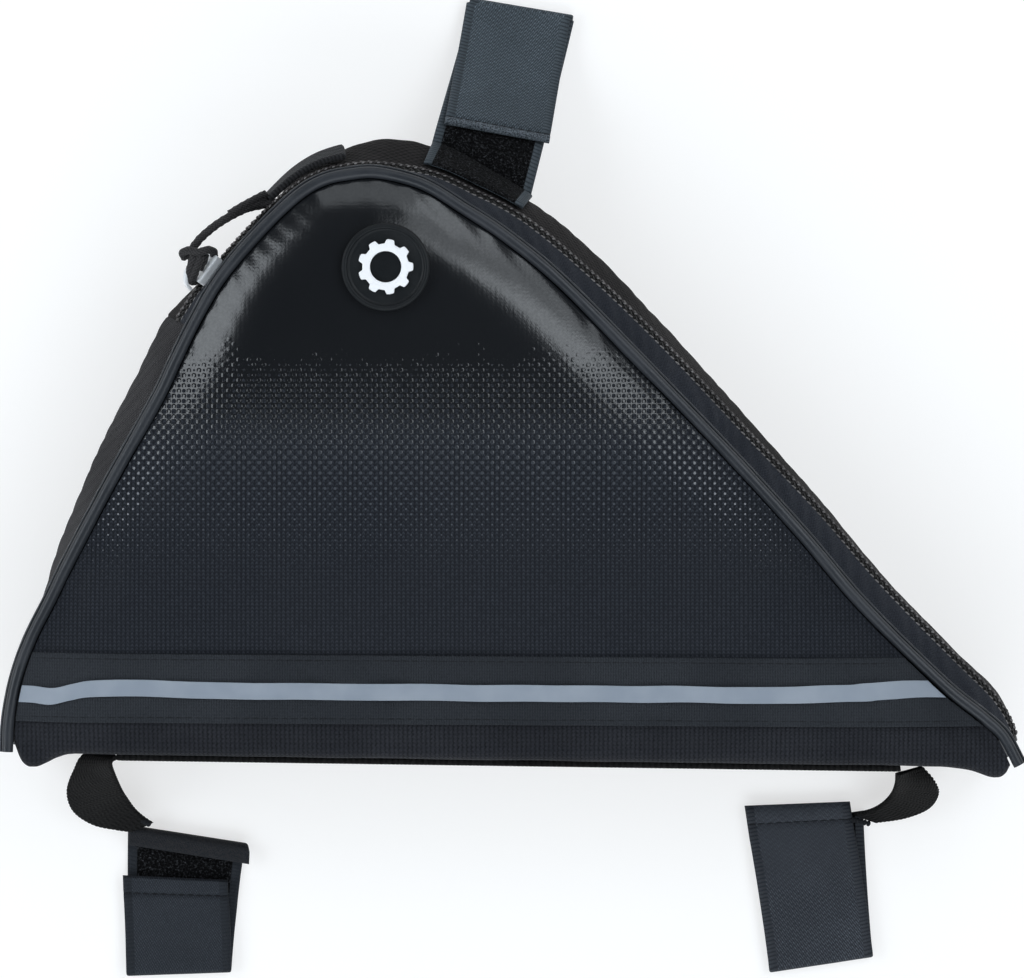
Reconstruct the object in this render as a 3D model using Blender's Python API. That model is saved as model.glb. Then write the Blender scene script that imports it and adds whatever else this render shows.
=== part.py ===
"""Triangular top tube bag, lying on its back panel, built from sewn pieces.

Metres, +Z up. The bag lies flat: +X runs along its base towards the long pointed end, +Y points from
the base to the rounded top, and +Z is the thickness, from the back panel on the floor to the front.
"""

from math import cos, pi, radians, sin

import bmesh
import bpy
import numpy as np

# Body
BODY_LENGTH = 0.2856        # between the two lower ends of the piping
BODY_HEIGHT = 0.1658        # from the base line to the crown of the piping
BASE_LINE_Y = -0.0767       # where the base line crosses the middle of the bag
BASE_SLOPE = 0.0142         # the base falls this much towards the pointed end, per metre
BODY_DEPTH = 0.042          # from the back seam to the front seam
BACK_SEAM_Z = 0.0055        # the back seam stands this high off the floor
PANEL_WALL = 0.0018
GUSSET_WALL = 0.0014
BASE_WALL = 0.0016
GAP = 0.0003                # between neighbouring pieces
TURN_WEIGHT = 0.55          # how much closer the sections stand where the outline turns
SHORTEST_COLUMN = 0.0022    # height of a panel at its two ends

# Front panel and base
FRONT_DOME = 0.0065         # the padded front stands this far above its seam
SHOULDER = 0.022            # the dome is reached this far in from the piping
BASE_SHOULDER = 0.016       # and this far up from the base
BACK_SHOULDER = 0.014       # the back lies flat this far in from its seam
BASE_FOLD = 0.004           # radius of the base fabric's two folds
SEAM_RISE = 0.0185          # the front seam lies this far above the base line
BACK_SEAM_RISE = 0.0150     # the same on the back
EAR_DROP = 0.0040           # how far the fabric sags below the base line at the corners

# Piping and zip
PIPING_RADIUS = 0.00165
TAPE_DEPTH = 0.0105         # the zip's centre lies this far below the front seam
GUSSET_BULGE = 0.0135       # largest bulge of the gusset beyond the seam
ZIP_OFFSET = 0.0090         # largest offset of the zip's centre beyond the seam
CHAIN_WIDTH = 0.0038
CHAIN_THICKNESS = 0.0019
ZIP_START = 0.290           # along the outline, as a share of its length
ZIP_END = 0.988

# Slider and its pull
SLIDER_AT = 0.326           # along the outline, as a share of its length
SLIDER_LENGTH = 0.0092
SLIDER_WIDTH = 0.0078
SLIDER_THICKNESS = 0.0026
SLIDER_RIDE = 0.0006        # between the slider and the chain it rides on
BRIDGE_HEIGHT = 0.0034
BRIDGE_WIDTH = 0.0022
CORD_RADIUS = 0.0012
TAB_START = 0.386
TAB_END = 0.431
TAB_WIDTH = 0.0075
TAB_THICKNESS = 0.0022
TAB_END_WIDTH = 0.55        # width of the rounded ends, as a share of TAB_WIDTH
TAB_ROUNDING = 4            # how quickly the ends widen

# Trim on the front
RIBBON_WIDTH = 0.0193
RIBBON_RISE = 0.0103        # from the base line to the ribbon's lower edge
RIBBON_SLOPE = 0.0059
RIBBON_THICKNESS = 0.0008
RIBBON_GAP = 0.0004
STRIPE_WIDTH = 0.0047
STRIPE_THICKNESS = 0.0004
BADGE_X = -0.1247           # share of the length
BADGE_Y = 0.838             # share of the height
BADGE_RADIUS = 0.0124
BADGE_THICKNESS = 0.0012
BADGE_RIM = 0.0009          # the raised rim and emblem stand this far above the badge's field
BADGE_ROUNDING = 0.0003     # of the rim's outer edge
COG_RADIUS = 0.0078
COG_HOLE = 0.0044
COG_TEETH = 9

# Webbing and straps
WEBBING_WIDTH = 0.018
WEBBING_THICKNESS = 0.0016
WEBBING_START = -0.3945     # share of the length
WEBBING_END = 0.3870
STRAP_WIDTH = 0.0305
STRAP_THICKNESS = 0.0015
STRAP_LAYER_GAP = 0.0005
STRAP_HEM = 0.0052          # length of the rolled hem at the root of a lower strap
HEM_HEIGHT = 0.0032         # height of that roll, between the middles of its layers
LEFT_STRAP_LENGTH = 0.0411
RIGHT_STRAP_LENGTH = 0.0468
TOP_STRAP_LENGTH = 0.0515
TOP_STRAP_ROOT_Z = 0.0235
STRAP_COLUMNS = (-0.5, -0.17, 0.17, 0.5)
LEFT_STRAP_EDGE = -0.0617   # its outer edge, inwards from the webbing's end, in webbing widths
LEFT_STRAP_DROP = 1.27      # its root below the base line, in webbing widths
LEFT_STRAP_LEAN = 2.0       # degrees
LEFT_FLAP_END = 0.0136      # where the flap ends, from the root
LEFT_SHIFT = 0.0062         # the lower layer lies this far to one side at the root
LEFT_SKEW = 0.13            # and is cut at this slant
RIGHT_STRAP_EDGE = 0.693
RIGHT_STRAP_DROP = 0.83
RIGHT_STRAP_LEAN = 8.6
RIGHT_SHIFT = 0.0040
RIGHT_SKEW = 0.09
TOP_STRAP_AT = 0.521        # share of the outline
TOP_STRAP_LEAN = 9.6
TOP_STRAP_CLEAR = 0.0005    # between the gusset and the strap
TOP_STRAP_REACH = 0.847     # share of its length that lies beyond the bag
TOP_FLAP_END = 0.32         # where the flap ends, as a share of the strap
TOP_SHIFT = -0.0026         # the lower layer lies this far to one side at the root
TOP_DRIFT = 0.0038          # and drifts this far back by the fold
TOP_FOLD_SHIFT = 0.0008

# The piping's centre line, from the left end over the crown to the pointed end
# (share of the length from the middle, share of the height above the base line)
OUTLINE = (
    (-0.4995, 0.014), (-0.4980, 0.068), (-0.4906, 0.136), (-0.4770, 0.204), (-0.4570, 0.273),
    (-0.4377, 0.341), (-0.3960, 0.477), (-0.3516, 0.613), (-0.3328, 0.681), (-0.3130, 0.750),
    (-0.2900, 0.818), (-0.2577, 0.886), (-0.2180, 0.954), (-0.1894, 0.986), (-0.1607, 0.998),
    (-0.1310, 1.000), (-0.0875, 0.980), (-0.0480, 0.939), (-0.0074, 0.893), (0.0470, 0.816),
    (0.1261, 0.678), (0.2052, 0.537), (0.2844, 0.388), (0.3447, 0.266), (0.4238, 0.131),
    (0.4654, 0.073), (0.4852, 0.041), (0.5010, -0.0085),
)

# How the gusset bulges along the outline
# (share along the outline, share of GUSSET_BULGE, zip centre as a share of ZIP_OFFSET)
BULGES = (
    (0.000, 0.09, 0.06), (0.070, 0.20, 0.14), (0.100, 0.32, 0.24), (0.127, 0.47, 0.37),
    (0.180, 0.65, 0.50), (0.220, 0.74, 0.57), (0.270, 0.75, 0.60), (0.290, 0.71, 0.58),
    (0.310, 0.52, 0.48), (0.330, 0.40, 0.36), (0.360, 0.35, 0.33), (0.390, 0.38, 0.32),
    (0.433, 0.68, 0.32), (0.450, 0.82, 0.33), (0.470, 0.90, 0.42), (0.500, 0.94, 0.64),
    (0.540, 0.98, 0.84), (0.580, 1.00, 0.86), (0.650, 0.97, 0.97), (0.730, 0.88, 0.92),
    (0.800, 0.84, 0.97), (0.860, 0.81, 0.99), (0.930, 0.76, 0.92), (0.960, 0.68, 0.76),
    (0.980, 0.42, 0.42), (1.000, 0.09, 0.09),
)

# The lower edge of the base fabric, which sags into an ear at each corner
# (share of the length from the middle, drop below the base line as a share of EAR_DROP)
BASE_EDGE = (
    (-0.4931, -0.45), (-0.4871, 0.55), (-0.4802, 0.97), (-0.4713, 0.96), (-0.4624, 0.72),
    (-0.4476, 0.18), (-0.4327, 0.00), (-0.4000, 0.00), (-0.3400, 0.00), (-0.2800, 0.00),
    (-0.2000, 0.00), (-0.1200, 0.00), (-0.0400, 0.00), (0.0400, 0.00), (0.1200, 0.00),
    (0.2000, 0.00), (0.2800, 0.00), (0.3400, 0.00), (0.3800, 0.00), (0.4110, 0.00),
    (0.4278, 0.04), (0.4426, 0.12), (0.4525, 0.28), (0.4624, 0.52), (0.4723, 0.74),
    (0.4822, 0.78), (0.4891, 0.50), (0.4935, -0.05),
)

# How far the stripe wanders below the ribbon's middle
# (share of the length from the middle, share of STRIPE_WIDTH)
STRIPE_WAVE = (
    (-0.500, 0.40), (-0.485, 0.42), (-0.464, 0.52), (-0.443, 0.24), (-0.420, 0.02), (-0.360, 0.00),
    (-0.290, 0.12), (-0.170, 0.12), (0.000, 0.14), (0.300, 0.16), (0.400, 0.02), (0.430, -0.12),
    (0.500, -0.20),
)

# Edges of the webbing tails below the base line, in webbing widths
# (outer sideways, outer down, outer height, inner sideways, inner down, inner height)
# Sideways is counted from the end of the base webbing, outwards; height from the floor.
LEFT_TAIL = (
    (0.420, 0.030, 1.02, -0.060, 0.115, 1.86),
    (0.700, 0.300, 0.80, -0.080, 0.330, 1.50),
    (0.860, 0.640, 0.56, -0.160, 0.570, 1.10),
    (0.760, 0.960, 0.36, -0.270, 0.740, 0.76),
    (0.440, 1.200, 0.26, -0.400, 0.910, 0.50),
    (0.060, 1.320, 0.21, -0.540, 1.070, 0.34),
)
RIGHT_TAIL = (
    (0.370, 0.030, 1.02, -0.070, 0.115, 1.86),
    (0.600, 0.280, 0.80, -0.070, 0.300, 1.50),
    (0.690, 0.490, 0.56, -0.130, 0.450, 1.10),
    (0.560, 0.730, 0.36, -0.280, 0.590, 0.76),
    (0.200, 0.890, 0.27, -0.490, 0.690, 0.48),
    (-0.280, 0.970, 0.19, -0.670, 0.760, 0.25),
)

# How the top strap falls to the floor: (share of its run, share of its root's height)
TOP_STRAP_FALL = (
    (0.0, 1.0), (0.12, 0.93), (0.30, 0.69), (0.50, 0.38), (0.70, 0.14), (0.86, 0.03), (1.0, 0.0),
)

# Route of the pull cord, from the slider's bridge to the grip tab, through chosen points
CORD_ROUTE = (
    (-0.0921, 0.0652, 0.0386), (-0.0914, 0.0671, 0.0390), (-0.0902, 0.0691, 0.0389),
    (-0.0887, 0.0710, 0.0386), (-0.0867, 0.0729, 0.0382), (-0.0841, 0.0750, 0.0376),
    (-0.0812, 0.0769, 0.0370), (-0.0781, 0.0786, 0.0363), (-0.0748, 0.0801, 0.0356),
    (-0.0717, 0.0815, 0.0344), (-0.0702, 0.0826, 0.0329), (-0.0695, 0.0831, 0.0322),
)

FRONT_SEAM_Z = BACK_SEAM_Z + BODY_DEPTH
PIPE_CLEAR = PIPING_RADIUS + GAP


# Curves and sheets

def smooth(points, count):
    """Return count points, evenly spaced, on a Catmull-Rom curve through the given points."""
    known = np.array(points, float)
    padded = np.vstack([2 * known[0] - known[1], known, 2 * known[-1] - known[-2]])
    t = np.linspace(0, 1, 12, endpoint=False)[:, None]
    pieces = []
    for a, b, c, d in zip(padded, padded[1:], padded[2:], padded[3:]):
        pieces.append(0.5 * (2 * b + (c - a) * t + (2 * a - 5 * b + 4 * c - d) * t**2
                             + (3 * b - a - 3 * c + d) * t**3))
    fine = np.vstack(pieces + [known[-1:]])
    lengths = np.concatenate([[0], np.cumsum(np.linalg.norm(np.diff(fine, axis=0), axis=1))])
    wanted = np.linspace(0, lengths[-1], count)
    return np.stack([np.interp(wanted, lengths, fine[:, k]) for k in range(fine.shape[1])], axis=1)


def look_up(rows, column, at):
    """Read one column of a table, whose first column rises, at a place between its rows."""
    return float(np.interp(at, rows[:, 0], rows[:, column]))


def material(name, colour, roughness, metallic=0.0):
    """Make a Principled material from a linear colour."""
    made = bpy.data.materials.new(name)
    made.use_nodes = True
    shader = made.node_tree.nodes["Principled BSDF"]
    shader.inputs["Base Color"].default_value = (*colour, 1.0)
    shader.inputs["Roughness"].default_value = roughness
    shader.inputs["Metallic"].default_value = metallic
    made.diffuse_color = (*colour, 1.0)
    return made


def add_object(name, mesh, finish, angle=35):
    """Put a mesh into the scene as a named sub-part, shaded smooth but for its sharp edges."""
    mesh.name = name
    mesh.materials.append(finish)
    mesh.shade_smooth()
    mesh.set_sharp_from_angle(angle=radians(angle))
    made = bpy.data.objects.new(name, mesh)
    bpy.context.scene.collection.objects.link(made)
    return made


def mesh_of(points, faces):
    """Make a mesh, with its faces turned outwards."""
    mesh = bpy.data.meshes.new("piece")
    mesh.from_pydata([tuple(p) for p in points], [], faces)
    shape = bmesh.new()
    shape.from_mesh(mesh)
    bmesh.ops.recalc_face_normals(shape, faces=shape.faces)
    shape.to_mesh(mesh)
    shape.free()
    return mesh


def sheet_normals(grid):
    """Return the unit normals of a grid of points, rows by columns."""
    along = np.gradient(grid, axis=0)
    across = np.gradient(grid, axis=1)
    normals = np.cross(along, across)
    return normals / np.linalg.norm(normals, axis=2, keepdims=True)


def walled(name, grid, first, second, finish):
    """Make a closed wall from a grid of points, between two offsets along the grid's normals."""
    grid = np.array(grid, float)
    normals = sheet_normals(grid)
    rows, columns = grid.shape[:2]
    top = grid + normals * second
    bottom = grid + normals * first
    points = np.concatenate([top.reshape(-1, 3), bottom.reshape(-1, 3)])
    lower = rows * columns

    def at(row, column, layer):
        return layer * lower + row * columns + column

    faces = []
    for row in range(rows - 1):
        for column in range(columns - 1):
            a, b = at(row, column, 0), at(row, column + 1, 0)
            c, d = at(row + 1, column + 1, 0), at(row + 1, column, 0)
            faces.append((a, b, c, d))
            faces.append((d + lower, c + lower, b + lower, a + lower))
    rim = [at(0, column, 0) for column in range(columns)]
    rim += [at(row, columns - 1, 0) for row in range(1, rows)]
    rim += [at(rows - 1, column, 0) for column in range(columns - 2, -1, -1)]
    rim += [at(row, 0, 0) for row in range(rows - 2, 0, -1)]
    for a, b in zip(rim, rim[1:] + rim[:1]):
        faces.append((b, a, a + lower, b + lower))
    return add_object(name, mesh_of(points, faces), finish)


def swept(name, rings, finish, angle=35):
    """Make a closed body from rings of points, one after another, with a flat cap at each end."""
    rings = np.array(rings, float)
    count, sides = rings.shape[:2]
    faces = []
    for ring in range(count - 1):
        for side in range(sides):
            after = (side + 1) % sides
            faces.append((ring * sides + side, ring * sides + after,
                          (ring + 1) * sides + after, (ring + 1) * sides + side))
    faces.append(tuple(range(sides - 1, -1, -1)))
    faces.append(tuple((count - 1) * sides + side for side in range(sides)))
    return add_object(name, mesh_of(rings.reshape(-1, 3), faces), finish, angle)


def tube(name, points, radius, finish):
    """Make a round tube along the given points, with filled ends."""
    curve = bpy.data.curves.new(name, "CURVE")
    curve.dimensions = "3D"
    curve.bevel_depth = radius
    curve.bevel_resolution = 2
    curve.use_fill_caps = True
    curve.materials.append(finish)
    line = curve.splines.new("POLY")
    line.points.add(len(points) - 1)
    for place, point in zip(line.points, points):
        place.co = (*point, 1.0)
    made = bpy.data.objects.new(name, curve)
    bpy.context.scene.collection.objects.link(made)
    return made


# The bag's outline

BULGE_CURVE = smooth(BULGES, 241)
STRIPE_CURVE = smooth(STRIPE_WAVE, 81)
ARCH = smooth([(x * BODY_LENGTH, BASE_LINE_Y + y * BODY_HEIGHT) for x, y in OUTLINE], 480)
ARCH_SHARES = np.linspace(0, 1, len(ARCH))
CROWN = int(np.argmax(ARCH[:, 1]))


def arch_at(share):
    """Return the outline's point, direction and outward normal at a share of its length."""
    step = 0.004
    point = np.array([np.interp(share, ARCH_SHARES, ARCH[:, k]) for k in (0, 1)])
    ends = [np.array([np.interp(s, ARCH_SHARES, ARCH[:, k]) for k in (0, 1)])
            for s in (max(share - step, 0), min(share + step, 1))]
    along = (ends[1] - ends[0]) / np.linalg.norm(ends[1] - ends[0])
    return point, along, np.array([-along[1], along[0]])


def stations(first, last, count):
    """Return shares of the outline between two ends, closer together where it turns."""
    fine = np.linspace(first, last, 241)
    ways = np.array([arch_at(share)[1] for share in fine])
    turns = np.linalg.norm(np.diff(ways, axis=0), axis=1)
    effort = np.concatenate([[0], np.cumsum(1 / len(turns) + TURN_WEIGHT * turns)])
    return np.interp(np.linspace(0, effort[-1], count), effort, fine)


def arch_distance(x, y):
    """Return the distance from a point to the outline's line."""
    starts, steps = ARCH[:-1], np.diff(ARCH, axis=0)
    offset = np.array([x, y]) - starts
    share = np.clip((offset * steps).sum(axis=1) / (steps**2).sum(axis=1), 0, 1)
    return float(np.linalg.norm(offset - steps * share[:, None], axis=1).min())


def side_x(y, side, clearance):
    """Return where the outline, moved inwards, crosses a height; side is -1 for left, 1 for right."""
    part = slice(0, CROWN) if side < 0 else slice(CROWN, None)
    heights, places = ARCH[part, 1], ARCH[part, 0]
    order = np.argsort(heights)
    share = float(np.interp(y, heights[order], ARCH_SHARES[part][order]))
    x = float(np.interp(y, heights[order], places[order]))
    lean = abs(arch_at(share)[2][0])
    return x - side * clearance / lean


def share_at_height(y, side):
    """Return the share of the outline at which it crosses a height on one side."""
    part = slice(0, CROWN) if side < 0 else slice(CROWN, None)
    heights = ARCH[part, 1]
    order = np.argsort(heights)
    return float(np.interp(y, heights[order], ARCH_SHARES[part][order]))


def base_y(x):
    """Return the height of the slanted base line at a place along the bag."""
    return BASE_LINE_Y - BASE_SLOPE * x


def rise(distance, reach):
    """Return how far a padded edge has risen, from 0 at its seam to 1 at its reach."""
    return 1 - (1 - min(max(distance / reach, 0), 1)) ** 2.2


def front_z(x, y):
    """Return the height of the front's outer face."""
    side = rise(arch_distance(x, y) - PIPE_CLEAR, SHOULDER)
    base = rise(y - base_y(x) + BASE_FOLD / 2, BASE_SHOULDER)
    return FRONT_SEAM_Z + GAP + FRONT_DOME * side * base


def back_z(x, y):
    """Return the height of the back's outer face, which lies flat on the floor but for its edge."""
    side = rise(arch_distance(x, y) - PIPE_CLEAR, BACK_SHOULDER)
    return (BACK_SEAM_Z - GAP) * (1 - side)


# The gusset

def gusset_section(share):
    """Return the gusset's outer line at a share of the outline, from front seam to back seam.

    Each row holds the distance beyond the seam and the height; the second value returned is the
    length along the line from the front seam to the zip's centre.
    """
    bulge = max(look_up(BULGE_CURVE, 1, share) * GUSSET_BULGE, GUSSET_WALL / 2)
    offset = max(look_up(BULGE_CURVE, 2, share) * ZIP_OFFSET, GUSSET_WALL / 2)
    top = FRONT_SEAM_Z - PIPE_CLEAR
    low = BACK_SEAM_Z + PIPE_CLEAR
    zip_z = FRONT_SEAM_Z - TAPE_DEPTH
    middle = low + 0.52 * (zip_z - low)
    lower = low + 0.20 * (zip_z - low)
    ends = GUSSET_WALL / 2
    upper = [(ends, top), (offset, zip_z)]
    rest = [(bulge, middle), (ends + 0.80 * (bulge - ends), lower), (ends, low)]
    line = smooth(upper + rest, 81)
    before = int(np.argmin(np.abs(line[:, 1] - zip_z)))
    length = float(np.linalg.norm(np.diff(line[:before + 1], axis=0), axis=1).sum())
    return line, length


def gusset_place(share, length_along, offset=0.0):
    """Return a point on the gusset, and its outward, downward and along directions.

    Args: share along the outline, length along the section from the front seam, and an offset outwards.
    """
    line, _ = gusset_section(share)
    lengths = np.concatenate([[0], np.cumsum(np.linalg.norm(np.diff(line, axis=0), axis=1))])
    step = 0.0006
    here, before, after = [
        np.array([np.interp(at, lengths, line[:, k]) for k in (0, 1)])
        for at in (length_along, max(length_along - step, 0), min(length_along + step, lengths[-1]))
    ]
    direction = (after - before) / np.linalg.norm(after - before)
    point, along, normal = arch_at(share)
    outward = np.array([-direction[1] * normal[0], -direction[1] * normal[1], direction[0]])
    down = np.array([direction[0] * normal[0], direction[0] * normal[1], direction[1]])
    place = np.array([*(point + normal * here[0]), here[1]])
    return place + outward * offset, outward, down, np.array([*along, 0.0])


def gusset_strip(name, shares, start, end, rows, finish):
    """Make one strip of the gusset, between two lengths along the section."""
    grid = []
    for share in shares:
        line, zip_length = gusset_section(share)
        whole = float(np.linalg.norm(np.diff(line, axis=0), axis=1).sum())
        first = start(zip_length, whole)
        last = end(zip_length, whole)
        grid.append([gusset_place(share, at)[0] for at in np.linspace(first, last, rows)])
    return walled(name, grid, -GUSSET_WALL, 0.0, finish)


def zip_stations():
    """Return the shares of the outline at which the zip and the cloth beside it have a section."""
    return stations(ZIP_START, ZIP_END, 48)


def make_gusset(cloth, tape):
    """Make the side strip below the zip, and the strips in front of the zip and behind it."""
    half = CHAIN_WIDTH / 2 + GAP
    whole_strip = np.linspace(0.004, ZIP_START - 0.001, 13)
    zip_shares = zip_stations()
    gusset_strip("side_gusset", whole_strip, lambda z, w: 0.0, lambda z, w: w, 9, cloth)
    gusset_strip("front_zip_tape", zip_shares, lambda z, w: 0.0, lambda z, w: z - half, 3, tape)
    gusset_strip("back_gusset", zip_shares, lambda z, w: z + half, lambda z, w: w, 7, cloth)


def make_zip_chain(finish):
    """Make the closed chain of the zip, a flat six-sided bar along its centre line."""
    profile = ((-0.5, 0.0), (-0.3, 0.5), (0.3, 0.5), (0.5, 0.0), (0.3, -0.5), (-0.3, -0.5))
    rings = []
    for share in zip_stations():
        _, zip_length = gusset_section(share)
        centre, outward, down, _ = gusset_place(share, zip_length, -GUSSET_WALL / 2)
        rings.append([centre + down * a * CHAIN_WIDTH + outward * b * CHAIN_THICKNESS
                      for a, b in profile])
    swept("zip_chain", rings, finish, 50)


# Panels, base and piping

def arch_rows(rise_above_base, columns, rows, height_at):
    """Return a grid of points over a panel: upright columns from a seam up to the outline.

    The columns stand at even lengths along the outline, and their rows crowd towards it.
    """
    seam = BASE_LINE_Y + rise_above_base
    inset = 0.002
    lowest = rise_above_base + SHORTEST_COLUMN
    first = share_at_height(base_y(-BODY_LENGTH / 2) + lowest, -1) + inset
    last = share_at_height(base_y(BODY_LENGTH / 2) + lowest, 1) - inset
    grid = []
    for share in np.linspace(first, last, columns):
        point, _, normal = arch_at(share)
        x, top = point - normal * PIPE_CLEAR
        bottom = seam - BASE_SLOPE * x + GAP / 2
        shares = 1 - (1 - np.linspace(0, 1, rows)) ** 1.5
        grid.append([(x, y, height_at(x, y)) for y in bottom + (top - bottom) * shares])
    return grid


def make_panels(front_cloth, back_cloth):
    """Make the domed front panel and the back panel, flattened where it lies."""
    front = arch_rows(SEAM_RISE, 38, 9, front_z)
    walled("front_panel", front, 0.0, -PANEL_WALL, front_cloth)
    back = arch_rows(BACK_SEAM_RISE, 30, 6, back_z)
    walled("back_panel", back, 0.0, PANEL_WALL, back_cloth)


def make_base(cloth):
    """Make the ribbed cloth that wraps the base, from the front seam round to the back seam."""
    grid = []
    ends = (BASE_EDGE[0][0], BASE_EDGE[-1][0])
    quarter = [radians(a) for a in (30, 60, 90)]
    for share, drop in BASE_EDGE:
        across = (share - ends[0]) / (ends[1] - ends[0])
        low = base_y(share * BODY_LENGTH) - drop * EAR_DROP

        def x_at(y, clearance):
            left = side_x(y, -1, clearance)
            return left + (side_x(y, 1, clearance) - left) * across

        def on_face(y, height_at):
            x = x_at(y, PIPE_CLEAR)
            return (x, y, height_at(x, y))

        seam = base_y(share * BODY_LENGTH) + SEAM_RISE - GAP / 2
        column = [on_face(y, front_z) for y in np.linspace(seam, low + BASE_FOLD, 5)]
        front = column[-1][2]
        back = on_face(low + BASE_FOLD, back_z)
        turns = [(low + BASE_FOLD * (1 - sin(a)), front - BASE_FOLD * (1 - cos(a)))
                 for a in quarter]
        turns.append((low, 0.5 * (front + back[2])))
        turns += [(low + BASE_FOLD * (1 - cos(a)), back[2] + BASE_FOLD * (1 - sin(a)))
                  for a in (0, *quarter[:2])]
        column += [(x_at(y, PIPE_CLEAR), y, z) for y, z in turns]
        column.append(back)
        back_seam = base_y(share * BODY_LENGTH) + BACK_SEAM_RISE - GAP / 2
        column.append(on_face(back_seam, back_z))
        grid.append(column)
    walled("base_wrap", grid, 0.0, BASE_WALL, cloth)


def make_piping(finish):
    """Make the piping in the front seam and in the back seam."""
    for name, height, count in (("front_piping", FRONT_SEAM_Z, 58), ("back_piping", BACK_SEAM_Z, 42)):
        points = [(*arch_at(share)[0], height) for share in stations(0, 1, count)]
        tube(name, points, PIPING_RADIUS, finish)


# Slider and pull

def make_slider(finish):
    """Make the slider: a shield-shaped body that rides on the chain, with a bridge for the pull."""
    _, zip_length = gusset_section(SLIDER_AT)
    centre, outward, down, along = gusset_place(SLIDER_AT, zip_length, -GUSSET_WALL / 2)
    centre = centre + outward * (CHAIN_THICKNESS / 2 + SLIDER_RIDE)
    outline = ((-0.50, -0.30), (-0.50, 0.30), (-0.20, 0.42), (0.25, 0.50), (0.50, 0.38),
               (0.50, -0.38), (0.25, -0.50), (-0.20, -0.42))
    layers = ((0.0, 0.94), (0.18, 1.0), (0.80, 1.0), (1.0, 0.86))
    rings = [[centre + along * a * SLIDER_LENGTH * size + down * b * SLIDER_WIDTH * size
              + outward * level * SLIDER_THICKNESS for a, b in outline] for level, size in layers]
    body = swept("zip_slider", rings, finish)
    rings = []
    for angle in np.linspace(0, pi, 9):
        reach = np.array([cos(angle), sin(angle)])
        spine = centre + along * (reach[0] * 0.38 - 0.08) * SLIDER_LENGTH + outward * (
            SLIDER_THICKNESS * 0.7 + reach[1] * BRIDGE_HEIGHT)
        thick = along * reach[0] + outward * reach[1]
        rings.append([spine + down * a * BRIDGE_WIDTH + thick * b * BRIDGE_WIDTH * 0.45
                      for a, b in ((-0.5, -0.5), (0.5, -0.5), (0.5, 0.5), (-0.5, 0.5))])
    bridge = swept("slider_bridge_tool", rings, finish)
    bridge.hide_render = True
    bridge.display_type = "WIRE"
    union = body.modifiers.new("bridge", "BOOLEAN")
    union.operation = "UNION"
    union.solver = "EXACT"
    union.object = bridge


def make_pull(cord, grip):
    """Make the cord that pulls the slider and the woven grip tab at its end."""
    tube("pull_cord", smooth(CORD_ROUTE, 22), CORD_RADIUS, cord)
    grid = []
    shares = np.linspace(TAB_START, TAB_END, 9)
    for share in shares:
        _, zip_length = gusset_section(share)
        first = zip_length + CHAIN_WIDTH / 2 + 2 * GAP
        end = min(share - TAB_START, TAB_END - share) / (TAB_END - TAB_START)
        narrow = 0.5 * TAB_WIDTH * (1 - min(1.0, TAB_END_WIDTH + TAB_ROUNDING * end))
        places = np.linspace(first + narrow, first + TAB_WIDTH - narrow, 4)
        grid.append([gusset_place(share, at, CHAIN_THICKNESS / 2)[0] for at in places])
    walled("pull_tab", grid, 0.0, TAB_THICKNESS, grip)


# Trim on the front

def make_ribbon(cloth, reflective):
    """Make the woven ribbon over the front seam, and the reflective stripe on it."""
    def column(x_share, centre_drop, width, rows, lift):
        """Return points down one column of the trim, from its upper edge to its lower one."""
        middle = BASE_LINE_Y + RIBBON_RISE + RIBBON_WIDTH / 2 - RIBBON_SLOPE * x_share * BODY_LENGTH
        points = []
        for y in np.linspace(0.5, -0.5, rows) * width + middle - centre_drop:
            left = side_x(y, -1, PIPE_CLEAR + GAP)
            right = side_x(y, 1, PIPE_CLEAR + GAP)
            x = left + (right - left) * (x_share + 0.5)
            points.append((x, y, front_z(x, y) + lift))
        return points

    close = 0.08
    near_end = np.linspace(0.5 - close, 0.5, 7)[1:]
    shares = np.concatenate([-near_end[::-1], np.linspace(close - 0.5, 0.5 - close, 15), near_end])
    ribbon = [column(s, 0.0, RIBBON_WIDTH, 6, RIBBON_GAP) for s in shares]
    walled("front_ribbon", ribbon, -RIBBON_THICKNESS, 0.0, cloth)
    lift = RIBBON_GAP + RIBBON_THICKNESS + GAP
    stripe = [column(s, look_up(STRIPE_CURVE, 1, s) * STRIPE_WIDTH, STRIPE_WIDTH, 3, lift)
              for s in shares]
    walled("reflective_stripe", stripe, -STRIPE_THICKNESS, 0.0, reflective)


def front_rings(radii_and_lifts, sides, centre, wave=None):
    """Return rings of points round a centre that follow the front, each with its own lift."""
    rings = []
    for radius, lift in radii_and_lifts:
        ring = []
        for k in range(sides):
            angle = 2 * pi * k / sides
            reach = radius if wave is None else wave(radius, k)
            x = centre[0] + reach * cos(angle)
            y = centre[1] + reach * sin(angle)
            ring.append((x, y, front_z(x, y) + lift))
        rings.append(ring)
    return rings


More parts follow.
